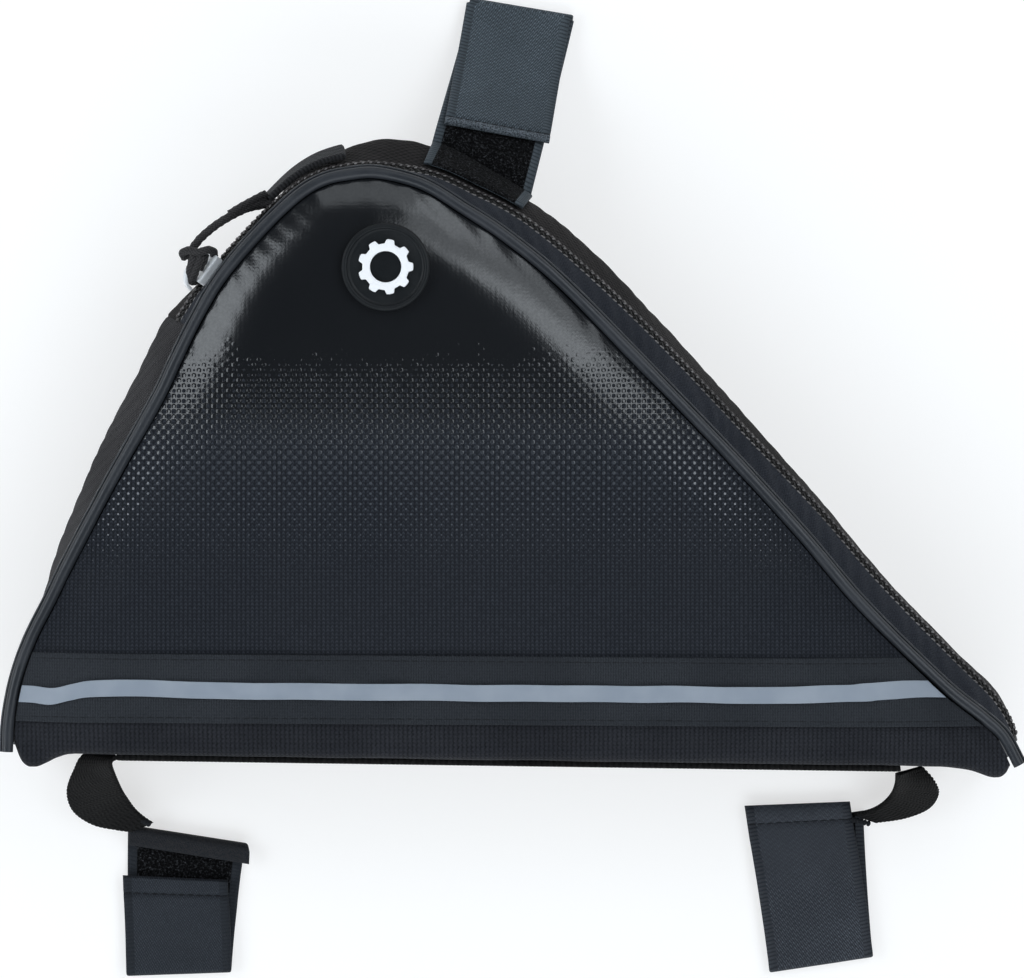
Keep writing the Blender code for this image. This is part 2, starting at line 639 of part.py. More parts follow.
def make_badge(rubber, emblem):
    """Make a plain round badge with a raised rim, and a plain cog on it."""
    centre = (BADGE_X * BODY_LENGTH, BASE_LINE_Y + BADGE_Y * BODY_HEIGHT)
    low = RIBBON_GAP
    field = low + BADGE_THICKNESS
    rim = field + BADGE_RIM
    outer = BADGE_RADIUS
    profile = ((outer * 0.02, low), (outer * 0.5, low), (outer, low), (outer, rim - BADGE_ROUNDING),
               (outer * 0.97, rim), (outer * 0.88, rim), (outer * 0.86, field),
               (outer * 0.5, field), (outer * 0.02, field))
    swept("badge", front_rings(profile, 22, centre), rubber)

    sides = COG_TEETH * 4

    def toothed(radius, k):
        tooth = 1.0 if k % 4 in (0, 1) else 0.84
        return radius * tooth if radius > 0.9 * COG_RADIUS else radius

    base = field + GAP
    top = base + BADGE_RIM - GAP
    rings = front_rings(((COG_HOLE, base), (COG_RADIUS, base), (COG_RADIUS, top), (COG_HOLE, top)),
                        sides, centre, toothed)
    points = np.array(rings).reshape(-1, 3)
    faces = []
    for ring in range(4):
        for side in range(sides):
            after = (side + 1) % sides
            nxt = (ring + 1) % 4
            faces.append((ring * sides + side, ring * sides + after,
                          nxt * sides + after, nxt * sides + side))
    add_object("badge_cog", mesh_of(points, faces), emblem)


# Webbing and straps

def make_webbing(cloth):
    """Make the webbing sewn along the base, and the tail at each end that carries a lower strap."""
    depth_middle = 0.5 * (FRONT_SEAM_Z + BACK_SEAM_Z)
    grid = []
    for x in np.linspace(WEBBING_START, WEBBING_END, 9) * BODY_LENGTH:
        y = base_y(x) - GAP
        grid.append([(x, y, depth_middle + s * WEBBING_WIDTH) for s in (-0.5, 0.0, 0.5)])
    walled("base_webbing", grid, 0.0, WEBBING_THICKNESS, cloth)

    for name, table, end, side in (("left_tail", LEFT_TAIL, WEBBING_START, -1),
                                   ("right_tail", RIGHT_TAIL, WEBBING_END, 1)):
        x_end = end * BODY_LENGTH + side * GAP
        y_end = base_y(x_end) - GAP - WEBBING_THICKNESS / 2
        rows = smooth(table, 15) * WEBBING_WIDTH
        grid = []
        for outer_x, outer_y, outer_z, inner_x, inner_y, inner_z in rows:
            outer = np.array([x_end + side * outer_x, y_end - outer_y, outer_z])
            inner = np.array([x_end + side * inner_x, y_end - inner_y, inner_z])
            grid.append([outer + (inner - outer) * s for s in (0.0, 0.33, 0.67, 1.0)])
        walled(name, grid, -WEBBING_THICKNESS / 2, WEBBING_THICKNESS / 2, cloth)


def strap_line(length, flap_end, hem):
    """Return a lower strap's line, as lengths away from its root and heights.

    It starts in a rolled hem if there is one, runs out along the floor, folds, and comes back on top
    of itself to the flap's end.
    """
    low = STRAP_THICKNESS / 2
    layer = STRAP_THICKNESS + STRAP_LAYER_GAP
    radius = layer / 2
    line = []
    if hem:
        roll = HEM_HEIGHT / 2
        line.append((STRAP_HEM, low + HEM_HEIGHT))
        line += [(roll * (1 - sin(a)), low + roll * (1 + cos(a)))
                 for a in np.radians((0, 45, 90, 135))]
    line += [(a, low) for a in np.linspace(HEM_HEIGHT / 2, length - radius, 5)]
    line += [(length - radius + radius * sin(a), low + radius * (1 - cos(a)))
             for a in np.radians((45, 90, 135, 180))]
    line += [(a, low + layer) for a in np.linspace(length - radius, flap_end, 6)[1:]]
    return line


def place_strap(name, line, origin, lean, shift_at, skew_at, finish):
    """Make a strap from its line: lengths away from the root, at a lean.

    shift_at moves a part of the strap sideways, and skew_at slants it, so that its layers don't lie
    squarely on each other.
    """
    direction = np.array([sin(lean), -cos(lean)])
    across = np.array([cos(lean), sin(lean)])
    grid = []
    for step, (away, height) in enumerate(line):
        share = step / (len(line) - 1)
        shift = shift_at(share, away)
        columns = []
        for s in STRAP_COLUMNS:
            reach = away + s * STRAP_WIDTH * skew_at(share, away)
            flat = np.array(origin) + direction * reach + across * (s * STRAP_WIDTH + shift)
            columns.append((*flat, height))
        grid.append(columns)
    walled(name, grid, -STRAP_THICKNESS / 2, STRAP_THICKNESS / 2, finish)


def make_lower_straps(finish):
    """Make the two hook-and-loop straps below the base, each folded back on itself."""
    left_x = WEBBING_START * BODY_LENGTH + LEFT_STRAP_EDGE * WEBBING_WIDTH + STRAP_WIDTH / 2
    line = strap_line(LEFT_STRAP_LENGTH, LEFT_FLAP_END, True)
    place_strap("left_strap", line, (left_x, BASE_LINE_Y - LEFT_STRAP_DROP * WEBBING_WIDTH),
                radians(LEFT_STRAP_LEAN),
                lambda share, away: LEFT_SHIFT * (1 - away / LEFT_STRAP_LENGTH) * (1 - share),
                lambda share, away: LEFT_SKEW * (1 - away / LEFT_STRAP_LENGTH) * (1 - share), finish)
    right_x = WEBBING_END * BODY_LENGTH - RIGHT_STRAP_EDGE * WEBBING_WIDTH - STRAP_WIDTH / 2
    line = strap_line(RIGHT_STRAP_LENGTH, 0.0, False)
    place_strap("right_strap", line, (right_x, BASE_LINE_Y - RIGHT_STRAP_DROP * WEBBING_WIDTH),
                radians(RIGHT_STRAP_LEAN),
                lambda share, away: RIGHT_SHIFT * (1 - away / RIGHT_STRAP_LENGTH) * (1 - share),
                lambda share, away: RIGHT_SKEW * (1 - away / RIGHT_STRAP_LENGTH) * share, finish)


def make_top_strap(finish):
    """Make the upper strap, sewn into the gusset behind the zip and folded back on itself."""
    lean = radians(TOP_STRAP_LEAN)
    direction = np.array([sin(lean), cos(lean)])
    across = np.array([cos(lean), -sin(lean)])
    root = arch_at(TOP_STRAP_AT)[0]
    low = STRAP_THICKNESS / 2
    drop = TOP_STRAP_ROOT_Z - low

    outer = []
    for share in np.linspace(0.40, 0.62, 45):
        line, _ = gusset_section(share)
        point, _, normal = arch_at(share)
        reach = np.interp(-TOP_STRAP_ROOT_Z, -line[:, 1], line[:, 0]) + TOP_STRAP_CLEAR
        outer.append(point + normal * reach - root)
    beside = np.array(outer) @ across
    away = np.array(outer) @ direction
    far = float(away.max()) + TOP_STRAP_LENGTH * TOP_STRAP_REACH
    backs = smooth(TOP_STRAP_FALL, 9)
    slopes = np.gradient(backs[:, 1], backs[:, 0])

    def start_at(side):
        """Return how far from the root the strap leaves the gusset, at a place across it."""
        return float(np.interp(side, beside, away)) + STRAP_THICKNESS * 0.4

    grid = []
    for share, fallen in backs:
        columns = []
        for s in STRAP_COLUMNS:
            side = s * STRAP_WIDTH + TOP_SHIFT + TOP_DRIFT * share
            reach = start_at(side) + (far - start_at(side)) * share
            columns.append((*(root + direction * reach + across * side), low + drop * fallen))
        grid.append(columns)
    layer = STRAP_THICKNESS + STRAP_LAYER_GAP
    radius = layer / 2
    for angle in np.radians((45, 90, 135, 180)):
        columns = []
        for s in STRAP_COLUMNS:
            flat = (root + direction * (far + radius * sin(angle))
                    + across * (s * STRAP_WIDTH + TOP_FOLD_SHIFT))
            columns.append((*flat, low + radius * (1 - cos(angle))))
        grid.append(columns)
    for share in np.linspace(1, TOP_FLAP_END, 7)[1:]:
        reach = far * share + float(away.mean()) * (1 - share)
        steep = float(np.interp(share, backs[:, 0], slopes)) * drop / (far - away.mean())
        lift = layer * (1 + steep**2) ** 0.5
        columns = []
        for s in STRAP_COLUMNS:
            side = s * STRAP_WIDTH
            local = (reach - start_at(side)) / (far - start_at(side))
            height = low + drop * float(np.interp(local, backs[:, 0], backs[:, 1])) + lift
            columns.append((*(root + direction * reach + across * side), height))
        grid.append(columns)
    walled("top_strap", grid, -STRAP_THICKNESS / 2, STRAP_THICKNESS / 2, finish)


def main():
    """Clear the scene and make the bag."""
    for old in list(bpy.data.objects):
        bpy.data.objects.remove(old)
    coated = material("coated_cloth", (0.012, 0.015, 0.018), 0.32)
    woven = material("woven_cloth", (0.014, 0.015, 0.018), 0.85)
    ribbed = material("ribbed_cloth", (0.017, 0.019, 0.023), 0.88)
    tape = material("zip_tape", (0.013, 0.013, 0.015), 0.9)
    plastic = material("coil_plastic", (0.02, 0.02, 0.021), 0.45)
    piping = material("piping_cover", (0.045, 0.048, 0.054), 0.5)
    reflective = material("reflective_film", (0.28, 0.31, 0.35), 0.45)
    rubber = material("badge_rubber", (0.012, 0.014, 0.016), 0.55)
    white = material("emblem_white", (0.80, 0.81, 0.82), 0.6)
    webbing = material("webbing_yarn", (0.010, 0.010, 0.011), 0.9)
    strap = material("hook_and_loop", (0.036, 0.042, 0.050), 0.75)
    steel = material("slider_metal", (0.60, 0.62, 0.65), 0.28, 1.0)
    cord = material("cord_braid", (0.02, 0.02, 0.02), 0.85)
    make_panels(coated, woven)
    make_base(ribbed)
    make_gusset(woven, tape)
    make_piping(piping)
    make_zip_chain(plastic)
    make_slider(steel)
    make_pull(cord, webbing)
    make_ribbon(ribbed, reflective)
    make_badge(rubber, white)
    make_webbing(webbing)
    make_lower_straps(strap)
    make_top_strap(strap)


main()
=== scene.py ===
"""Looks of the triangular top tube bag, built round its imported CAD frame.

Metres, +Z up. The bag lies on its back: +X runs along its base towards the pointed end, +Y points
from the base to the rounded top, and +Z is the thickness. The sizes repeat those of the CAD source.
"""

import logging
from dataclasses import dataclass, field
from enum import Enum
from math import pi, radians

import bmesh
import bpy
import numpy as np
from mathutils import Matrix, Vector


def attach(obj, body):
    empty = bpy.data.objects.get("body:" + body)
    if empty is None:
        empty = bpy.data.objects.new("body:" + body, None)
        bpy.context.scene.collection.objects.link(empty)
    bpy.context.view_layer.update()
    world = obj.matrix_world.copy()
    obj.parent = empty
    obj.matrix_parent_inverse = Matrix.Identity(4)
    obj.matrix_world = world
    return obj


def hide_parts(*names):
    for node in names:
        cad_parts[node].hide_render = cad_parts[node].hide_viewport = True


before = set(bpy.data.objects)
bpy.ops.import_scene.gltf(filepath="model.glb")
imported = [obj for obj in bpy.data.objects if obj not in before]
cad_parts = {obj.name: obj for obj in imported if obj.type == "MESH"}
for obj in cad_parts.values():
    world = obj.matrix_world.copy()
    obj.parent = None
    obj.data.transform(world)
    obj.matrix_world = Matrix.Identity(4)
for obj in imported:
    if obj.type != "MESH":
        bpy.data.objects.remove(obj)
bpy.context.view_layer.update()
LOG = logging.getLogger("bag")
Array = np.ndarray
Colour = tuple[float, float, float]
Socket = bpy.types.NodeSocket
UP = np.array([0.0, 0.0, 1.0])
STRAP_STITCH = (0.0026, 0.0020, 0.0005)
RIBBON_STITCH = (0.0027, 0.0022, 0.00045)
WEBBING_STITCH = (0.0029, 0.0022, 0.0006)
TACK_KNOT = (0.0018, 0.0014, 0.0013)


# Curves and grids

def spline(knots: Array, steps: int = 12) -> Array:
    """Run a Catmull-Rom curve through the knots; its end spans use the mirrored end knots.

    Args:
        knots: one curve as (knots, values), or many as (curves, knots, values).
        steps: points to a span.
    Returns:
        The points, in the same layout.
    """
    first = 2 * knots[..., :1, :] - knots[..., 1:2, :]
    last = 2 * knots[..., -1:, :] - knots[..., -2:-1, :]
    k = np.concatenate([first, knots, last], axis=-2)[..., None, :]
    t = np.linspace(0, 1, steps, endpoint=False)[:, None]
    a, b, c, d = k[..., :-3, :, :], k[..., 1:-2, :, :], k[..., 2:-1, :, :], k[..., 3:, :, :]
    fine = 0.5 * (2 * b + (c - a) * t + (2 * a - 5 * b + 4 * c - d) * t**2 + (3 * b - a - 3 * c + d) * t**3)
    fine = fine.reshape(*knots.shape[:-2], -1, knots.shape[-1])
    return np.concatenate([fine, knots[..., -1:, :]], axis=-2)


def run_lengths(points: Array) -> Array:
    """Return the length run along a line of points, from 0."""
    steps = np.linalg.norm(np.diff(points, axis=0), axis=1)
    return np.concatenate([[0.0], np.cumsum(steps)])


def between(wanted: Array, known: Array, values: Array) -> Array:
    """Return each column of the values at wanted places, on straight lines between known ones."""
    return np.stack([np.interp(wanted, known, column) for column in values.T], axis=-1)


def smooth(points: object, count: int) -> Array:
    """Return count points, evenly spaced by length, on a Catmull-Rom curve through the points."""
    fine = spline(np.array(points, float))
    lengths = run_lengths(fine)
    return between(np.linspace(0, lengths[-1], count), lengths, fine)


def unit(vectors: Array) -> Array:
    """Return vectors of length one."""
    return vectors / np.maximum(np.linalg.norm(vectors, axis=-1, keepdims=True), 1e-12)


def sheet_normals(grid: Array) -> Array:
    """Return the unit normals of a grid of points: the way along crossed with the way across."""
    return unit(np.cross(np.gradient(grid, axis=0), np.gradient(grid, axis=1)))


def run_across(grid: Array, axis: int) -> Array:
    """Return the length run along one axis of a grid of points, from 0."""
    steps = np.linalg.norm(np.diff(grid, axis=axis), axis=2)
    return np.cumsum(np.pad(steps, [(1, 0), (0, 0)] if axis == 0 else [(0, 0), (1, 0)]), axis=axis)


def ovals(centres: Array, first: Array, second: Array, turn: Array) -> Array:
    """Return rings: centre, plus the turn's cosine of one half axis, plus its sine of the other."""
    return (centres[:, None] + first[:, None] * np.cos(turn)[:, None]
            + second[:, None] * np.sin(turn)[:, None])


def edge_rows(count: int, length: float, reach: float) -> Array:
    """Return shares from 0 to 1 that crowd within a reach of both ends, for a rounded edge."""
    near = np.array([0.0, 0.08, 0.3, 0.62, 1.0]) * min(reach / length, 0.3)
    return np.concatenate([near, np.linspace(near[-1], 1 - near[-1], count)[1:-1], 1 - near[::-1]])


def ripple(x: Array, y: Array, size: float, seed: int) -> Array:
    """Return soft waves between about -1 and 1: nine plane waves of about that size, summed."""
    draw = np.random.RandomState(seed)
    ways = draw.uniform(0, 2 * pi, 9)
    rates = 2 * pi / (size * draw.uniform(0.7, 1.5, 9))
    shifts = draw.uniform(0, 2 * pi, 9)
    waves = [np.sin((x * np.cos(w) + y * np.sin(w)) * r + s) for w, r, s in zip(ways, rates, shifts)]
    return np.sum(waves, axis=0) / 3.0


def grid_faces(rows: int, columns: int, wrap: bool = False) -> Array:
    """Return the quads of a grid of points; wrap joins the last column to the first."""
    row = np.arange(rows - 1)[:, None]
    column = np.arange(columns if wrap else columns - 1)[None, :]
    after = (column + 1) % columns
    corners = [row * columns + column, row * columns + after,
               (row + 1) * columns + after, (row + 1) * columns + column]
    return np.stack(corners, axis=-1).reshape(-1, 4)


@dataclass
class Solid:
    """Points, faces and cloth coordinates of one or more closed shapes."""

    points: Array
    faces: list[Array]
    lay: Array

    def build(self, name: str, finish: bpy.types.Material, angle: float = 45.0) -> bpy.types.Object:
        """Make the object, with its faces turned outwards.

        Args:
            name: the piece's name.
            finish: its material.
            angle: edges that turn by more than this, in degrees, stay sharp.
        Returns:
            The object, at the origin, with its place in its mesh.
        """
        mesh = bpy.data.meshes.new(name)
        faces = [row for array in self.faces for row in array.tolist()]
        mesh.from_pydata(self.points.tolist(), [], faces)
        lay = mesh.attributes.new("lay", "FLOAT_VECTOR", "POINT")
        lay.data.foreach_set("vector", self.lay.astype(np.float32).ravel())
        shape = bmesh.new()
        shape.from_mesh(mesh)
        bmesh.ops.recalc_face_normals(shape, faces=shape.faces)
        shape.to_mesh(mesh)
        shape.free()
        mesh.shade_smooth()
        mesh.set_sharp_from_angle(angle=radians(angle))
        mesh.materials.append(finish)
        made = bpy.data.objects.new(name, mesh)
        bpy.context.scene.collection.objects.link(made)
        return made


def joined(solids: list[Solid]) -> Solid:
    """Return several solids as one, with their faces numbered on."""
    starts = np.cumsum([0] + [len(s.points) for s in solids[:-1]])
    faces = [array + start for s, start in zip(solids, starts) for array in s.faces]
    return Solid(np.concatenate([s.points for s in solids]), faces,
                 np.concatenate([s.lay for s in solids]))


def sheet_lay(grid: Array) -> Array:
    """Return cloth coordinates: metres along the rows, metres across them, and 0."""
    along = run_across(grid, 0).mean(axis=1)[:, None] * np.ones(grid.shape[1])
    return np.stack([along, run_across(grid, 1), np.zeros_like(along)], axis=-1)


def walled(grid: Array, lower: float, upper: float, lay: Array | None = None,
           soft: float = 1.0, reach: float = 0.0008) -> Solid:
    """Make a closed wall between two offsets along a grid's normals, with rounded edges.

    Near an edge the wall thins as a quarter ellipse does: the square root of one minus the square of
    one minus the distance over the reach, mixed with soft so that the rim keeps that share.

    Args:
        grid: points, rows by columns by 3.
        lower: offset of the lower face.
        upper: offset of the upper face.
        lay: cloth coordinates of the grid, or None to measure them.
        soft: share of the wall that the rim keeps; 1 keeps a square edge.
        reach: width of the rounding.
    Returns:
        The wall.
    """
    normals = sheet_normals(grid)
    lay = sheet_lay(grid) if lay is None else lay
    rows, columns = grid.shape[:2]
    rings = []
    for axis in (0, 1):
        run = run_across(grid, axis)
        whole = run[-1:, :] if axis == 0 else run[:, -1:]
        rings.append(np.minimum(run, whole - run))
    near = np.clip(np.minimum(*rings) / reach, 0, 1)
    weight = soft + (1 - soft) * np.sqrt(1 - (1 - near) ** 2)
    middle, half = (lower + upper) / 2, (upper - lower) / 2 * weight[..., None]
    top = grid + normals * (middle + half)
    bottom = grid + normals * (middle - half)
    under = rows * columns
    faces = grid_faces(rows, columns)
    index = np.arange(under).reshape(rows, columns)
    rim = np.concatenate([index[0], index[1:, -1], index[-1, -2::-1], index[-2:0:-1, 0]])
    after = np.roll(rim, -1)
    edge = np.stack([after, rim, rim + under, after + under], axis=1)
    return Solid(np.concatenate([top.reshape(-1, 3), bottom.reshape(-1, 3)]),
                 [faces, faces[:, ::-1] + under, edge], np.concatenate([lay.reshape(-1, 3)] * 2))


def swept(rings: Array) -> Solid:
    """Make a closed body from rings of points, each end closed by a fan to the ring's middle."""
    count, sides = rings.shape[:2]
    run = run_lengths(rings.mean(axis=1))[:, None] * np.ones(sides)
    lay = np.stack([run, run_across(rings, 1), np.zeros_like(run)], axis=-1)
    ends = rings[[0, -1]].mean(axis=1)
    side = np.arange(sides)
    after = (side + 1) % sides
    pole = count * sides
    first = np.stack([side, np.full(sides, pole), after], axis=1)
    last = np.stack([side, after, np.full(sides, pole + 1)], axis=1)
    last[:, :2] += (count - 1) * sides
    return Solid(np.concatenate([rings.reshape(-1, 3), ends]),
                 [grid_faces(count, sides, True), first, last],
                 np.concatenate([lay.reshape(-1, 3), lay[[0, -1], 0]]))


def turns(count: int) -> Array:
    """Return even angles round a circle."""
    return np.arange(count) * 2 * pi / count


def frames_along(path: Array) -> tuple[Array, Array]:
    """Return the side and the upright at each point of a path, with the upright nearest to up."""
    way = unit(np.gradient(path, axis=0))
    side = unit(np.cross(way, UP * np.ones_like(path)))
    return side, np.cross(side, way)


def tube(path: Array, radius: Array | float, sides: int) -> Solid:
    """Make a round tube along a path: rings with the radius as both half axes."""
    side, upright = frames_along(path)
    radius = np.broadcast_to(radius, len(path))[:, None]
    return swept(ovals(path, side * radius, upright * radius, turns(sides)))


def beads(centres: Array, ways: Array, beside: Array, ups: Array, size: tuple[float, float, float],
          around: int = 6, along: int = 4) -> Solid:
    """Make many small rounded beads, such as stitches and coil loops, as one mesh.

    Each bead is an ellipsoid: its point at a turn and a tilt is the centre, plus the way times half
    the length times the tilt's sine, plus the side and the upright times half the width and height
    times the tilt's cosine and the turn's cosine or sine.

    Args:
        centres: middle of each bead.
        ways: its long direction.
        beside: its sideways direction.
        ups: its upright direction.
        size: length, width and height.
        around: points round a ring.
        along: rings between the two poles.
    Returns:
        All the beads.
    """
    turn = turns(around)
    tilt = np.linspace(-0.5 * pi, 0.5 * pi, along + 2)[1:-1, None]
    ball = [np.sin(tilt) * np.ones(around), np.cos(tilt) * np.cos(turn), np.cos(tilt) * np.sin(turn)]
    ball = np.stack(ball, axis=-1).reshape(-1, 3)
    local = np.concatenate([ball, [(-1.0, 0.0, 0.0), (1.0, 0.0, 0.0)]]) * np.array(size) / 2
    points = centres[:, None] + local @ np.stack([ways, beside, ups], axis=1)
    each = len(local)
    side = np.arange(around)
    after = (side + 1) % around
    first = np.stack([side, np.full(around, each - 2), after], axis=1)
    last = np.stack([side, after, np.full(around, each - 1)], axis=1)
    last[:, :2] += (along - 1) * around
    starts = (np.arange(len(centres)) * each)[:, None, None]
    faces = [(array[None] + starts).reshape(-1, array.shape[1])
             for array in (grid_faces(along, around, True), first, last)]
    lay = np.tile(local, (len(centres), 1)) + np.repeat(centres, each, axis=0)
    return Solid(points.reshape(-1, 3), faces, lay)


def stitches(path: Array, ups: Array, stitch: tuple[float, float, float]) -> Solid:
    """Sew a row of stitches along a path: beads along its way, from their pitch, length and width."""
    pitch, length, width = stitch
    run = run_lengths(path)
    wanted = np.arange(pitch / 2, run[-1], pitch)
    way = unit(between(wanted, run, unit(np.gradient(path, axis=0))))
    up = unit(between(wanted, run, ups))
    return beads(between(wanted, run, path), way, unit(np.cross(way, up)), up, (length, width, width * 0.8))


# The bag's form

OUTLINE = (
    (-0.4995, 0.014), (-0.4980, 0.068), (-0.4906, 0.136), (-0.4770, 0.204), (-0.4570, 0.273),
    (-0.4377, 0.341), (-0.3960, 0.477), (-0.3516, 0.613), (-0.3328, 0.681), (-0.3130, 0.750),
    (-0.2900, 0.818), (-0.2577, 0.886), (-0.2180, 0.954), (-0.1894, 0.986), (-0.1607, 0.998),
    (-0.1310, 1.000), (-0.0875, 0.980), (-0.0480, 0.939), (-0.0074, 0.893), (0.0470, 0.816),
    (0.1261, 0.678), (0.2052, 0.537), (0.2844, 0.388), (0.3447, 0.266), (0.4238, 0.131),
    (0.4654, 0.073), (0.4852, 0.041), (0.5010, -0.0085),
)
BULGES = (
    (0.000, 0.09, 0.06), (0.070, 0.20, 0.14), (0.100, 0.32, 0.24), (0.127, 0.47, 0.37),
    (0.180, 0.65, 0.50), (0.220, 0.74, 0.57), (0.270, 0.75, 0.60), (0.290, 0.71, 0.58),
    (0.310, 0.52, 0.48), (0.330, 0.40, 0.36), (0.360, 0.35, 0.33), (0.390, 0.38, 0.32),
    (0.433, 0.68, 0.32), (0.450, 0.82, 0.33), (0.470, 0.90, 0.42), (0.500, 0.94, 0.64),
    (0.540, 0.98, 0.84), (0.580, 1.00, 0.86), (0.650, 0.97, 0.97), (0.730, 0.88, 0.92),
    (0.800, 0.84, 0.97), (0.860, 0.81, 0.99), (0.930, 0.76, 0.92), (0.960, 0.68, 0.76),
    (0.980, 0.42, 0.42), (1.000, 0.09, 0.09),
)


@dataclass
class Form:
    """The bag's outline, its two faces and its gusset, as functions of whole arrays.

    The tables are those of the CAD source: the outline's shares of the length and of the height, and
    the gusset's bulge and the zip's offset along it.
    """

    length: float = 0.2856
    height: float = 0.1658
    base_line: float = -0.0767
    base_slope: float = 0.0142
    depth: float = 0.042
    back_seam: float = 0.0055
    gap: float = 0.0003
    dome: float = 0.0065
    shoulder: float = 0.022
    base_shoulder: float = 0.016
    back_shoulder: float = 0.014
    base_fold: float = 0.004
    gusset_wall: float = 0.0014
    panel_wall: float = 0.0018
    front_rise: float = 0.0185
    back_rise: float = 0.0150
    zip_start: float = 0.290
    zip_end: float = 0.988
    chain_width: float = 0.0038
    piping: float = 0.00165
    tape_depth: float = 0.0105
    bulge: float = 0.0135
    zip_offset: float = 0.0090
    shortest: float = 0.0022
    inset: float = 0.002
    arch: Array = field(init=False)

    def __post_init__(self) -> None:
        """Work out the outline and the bulges once."""
        knots = [(x * self.length, self.base_line + y * self.height) for x, y in OUTLINE]
        self.arch = smooth(knots, 480)
        self.shares = np.linspace(0, 1, len(self.arch))
        self.bulges = smooth(BULGES, 241)
        self.crown = int(np.argmax(self.arch[:, 1]))
        self.front_seam = self.back_seam + self.depth
        self.clear = self.piping + self.gap

    def at(self, share: Array) -> tuple[Array, Array, Array]:
        """Return the outline's points, ways and outward normals at shares of its length."""
        def point(where: Array) -> Array:
            """Return points of the outline."""
            return between(where, self.shares, self.arch)

        share = np.asarray(share, float)
        step = 0.004
        way = unit(point(np.minimum(share + step, 1)) - point(np.maximum(share - step, 0)))
        return point(share), way, np.stack([-way[..., 1], way[..., 0]], axis=-1)

    def edge_distance(self, x: Array, y: Array) -> Array:
        """Return the distance from points to the outline: the least distance to its 479 parts."""
        starts, steps = self.arch[:-1], np.diff(self.arch, axis=0)
        flat = np.stack([x.ravel(), y.ravel()], axis=1)
        found = []
        for part in np.array_split(flat, max(1, len(flat) // 4000)):
            offset = part[:, None] - starts
            share = np.clip((offset * steps).sum(axis=2) / (steps**2).sum(axis=1), 0, 1)
            found.append(np.linalg.norm(offset - steps * share[..., None], axis=2).min(axis=1))
        return np.concatenate(found).reshape(x.shape)

    def side(self, side: int) -> tuple[Array, Array, Array]:
        """Return the heights, places and shares of one side of the outline, by rising height."""
        part = slice(0, self.crown) if side < 0 else slice(self.crown, None)
        order = np.argsort(self.arch[part, 1])
        return self.arch[part, 1][order], self.arch[part, 0][order], self.shares[part][order]

    def share_at(self, y: Array, side: int) -> Array:
        """Return the share of the outline at which it crosses a height on one side."""
        heights, _, shares = self.side(side)
        return np.interp(y, heights, shares)

    def side_x(self, y: Array, side: int, clearance: float) -> Array:
        """Return where the outline, moved inwards, crosses a height on one side."""
        heights, places, _ = self.side(side)
        lean = np.abs(self.at(self.share_at(y, side))[2][..., 0])
        return np.interp(y, heights, places) - side * clearance / lean

    def base_y(self, x: Array) -> Array:
        """Return the slanted base line's height."""
        return self.base_line - self.base_slope * x

    @staticmethod
    def rise(distance: Array, reach: float) -> Array:
        """Return one minus the 2.2th power of one minus the distance over the reach."""
        return 1 - (1 - np.clip(distance / reach, 0, 1)) ** 2.2

    def front_z(self, x: Array, y: Array) -> Array:
        """Return the height of the front's outer face: the dome times its two shoulders."""
        side = self.rise(self.edge_distance(x, y) - self.clear, self.shoulder)
        base = self.rise(y - self.base_y(x) + self.base_fold / 2, self.base_shoulder)
        return self.front_seam + self.gap + self.dome * side * base

    def back_z(self, x: Array, y: Array) -> Array:
        """Return the height of the back's outer face, flat on the floor but for its edge."""
        side = self.rise(self.edge_distance(x, y) - self.clear, self.back_shoulder)
        return (self.back_seam - self.gap) * (1 - side)

    def panel(self, rise: float, columns: int, rows: int) -> Array:
        """Return flat points over a panel: upright columns from a seam near the base to the outline.

        Args:
            rise: height of the lower seam above the base line.
            columns: number of columns, at even lengths along the outline.
            rows: number of rows, which crowd towards the outline.
        Returns:
            Points, columns by rows by 2.
        """
        lowest = rise + self.shortest
        first = self.share_at(self.base_y(-self.length / 2) + lowest, -1) + self.inset
        last = self.share_at(self.base_y(self.length / 2) + lowest, 1) - self.inset
        point, _, normal = self.at(np.linspace(first, last, columns))
        top = point - normal * self.clear
        bottom = self.base_y(top[:, 0]) + rise + self.gap / 2
        share = 1 - (1 - np.linspace(0, 1, rows)) ** 1.5
        y = bottom[:, None] + (top[:, 1] - bottom)[:, None] * share
        return np.stack([top[:, :1] * np.ones(rows), y], axis=-1)

    def sections(self, share: Array) -> tuple[Array, Array, Array]:
        """Return the gusset's outer lines, the lengths run along them and the length to the zip.

        Each line is a Catmull-Rom curve through five points beyond the seam: the front seam, the zip
        at its offset, the bulge at mid-height, four fifths of it lower down, and the back seam.
        """
        ends = self.gusset_wall / 2
        bulge, offset = [np.maximum(np.interp(share, self.bulges[:, 0], self.bulges[:, k]) * size, ends)
                         for k, size in ((1, self.bulge), (2, self.zip_offset))]
        top = self.front_seam - self.clear
        low = self.back_seam + self.clear
        zip_z = self.front_seam - self.tape_depth
        same = np.ones_like(bulge)
        beyond = [ends * same, offset, bulge, ends + 0.80 * (bulge - ends), ends * same]
        height = [top, zip_z, low + 0.52 * (zip_z - low), low + 0.20 * (zip_z - low), low]
        knots = np.stack([np.stack([n, z * same], axis=-1) for n, z in zip(beyond, height)], axis=1)
        lines = spline(knots)
        run = run_across(lines, 1)
        return lines, run, run[:, 12]

    def gusset(self, share: Array, down: Array) -> tuple[Array, Array, Array, Array]:
        """Return places on the gusset with their outward, downward and along directions.

        Args:
            share: shares along the outline, one for each section.
            down: lengths along each section from the front seam, sections by places.
        Returns:
            Four arrays, sections by places by 3.
        """
        lines, run, _ = self.sections(share)

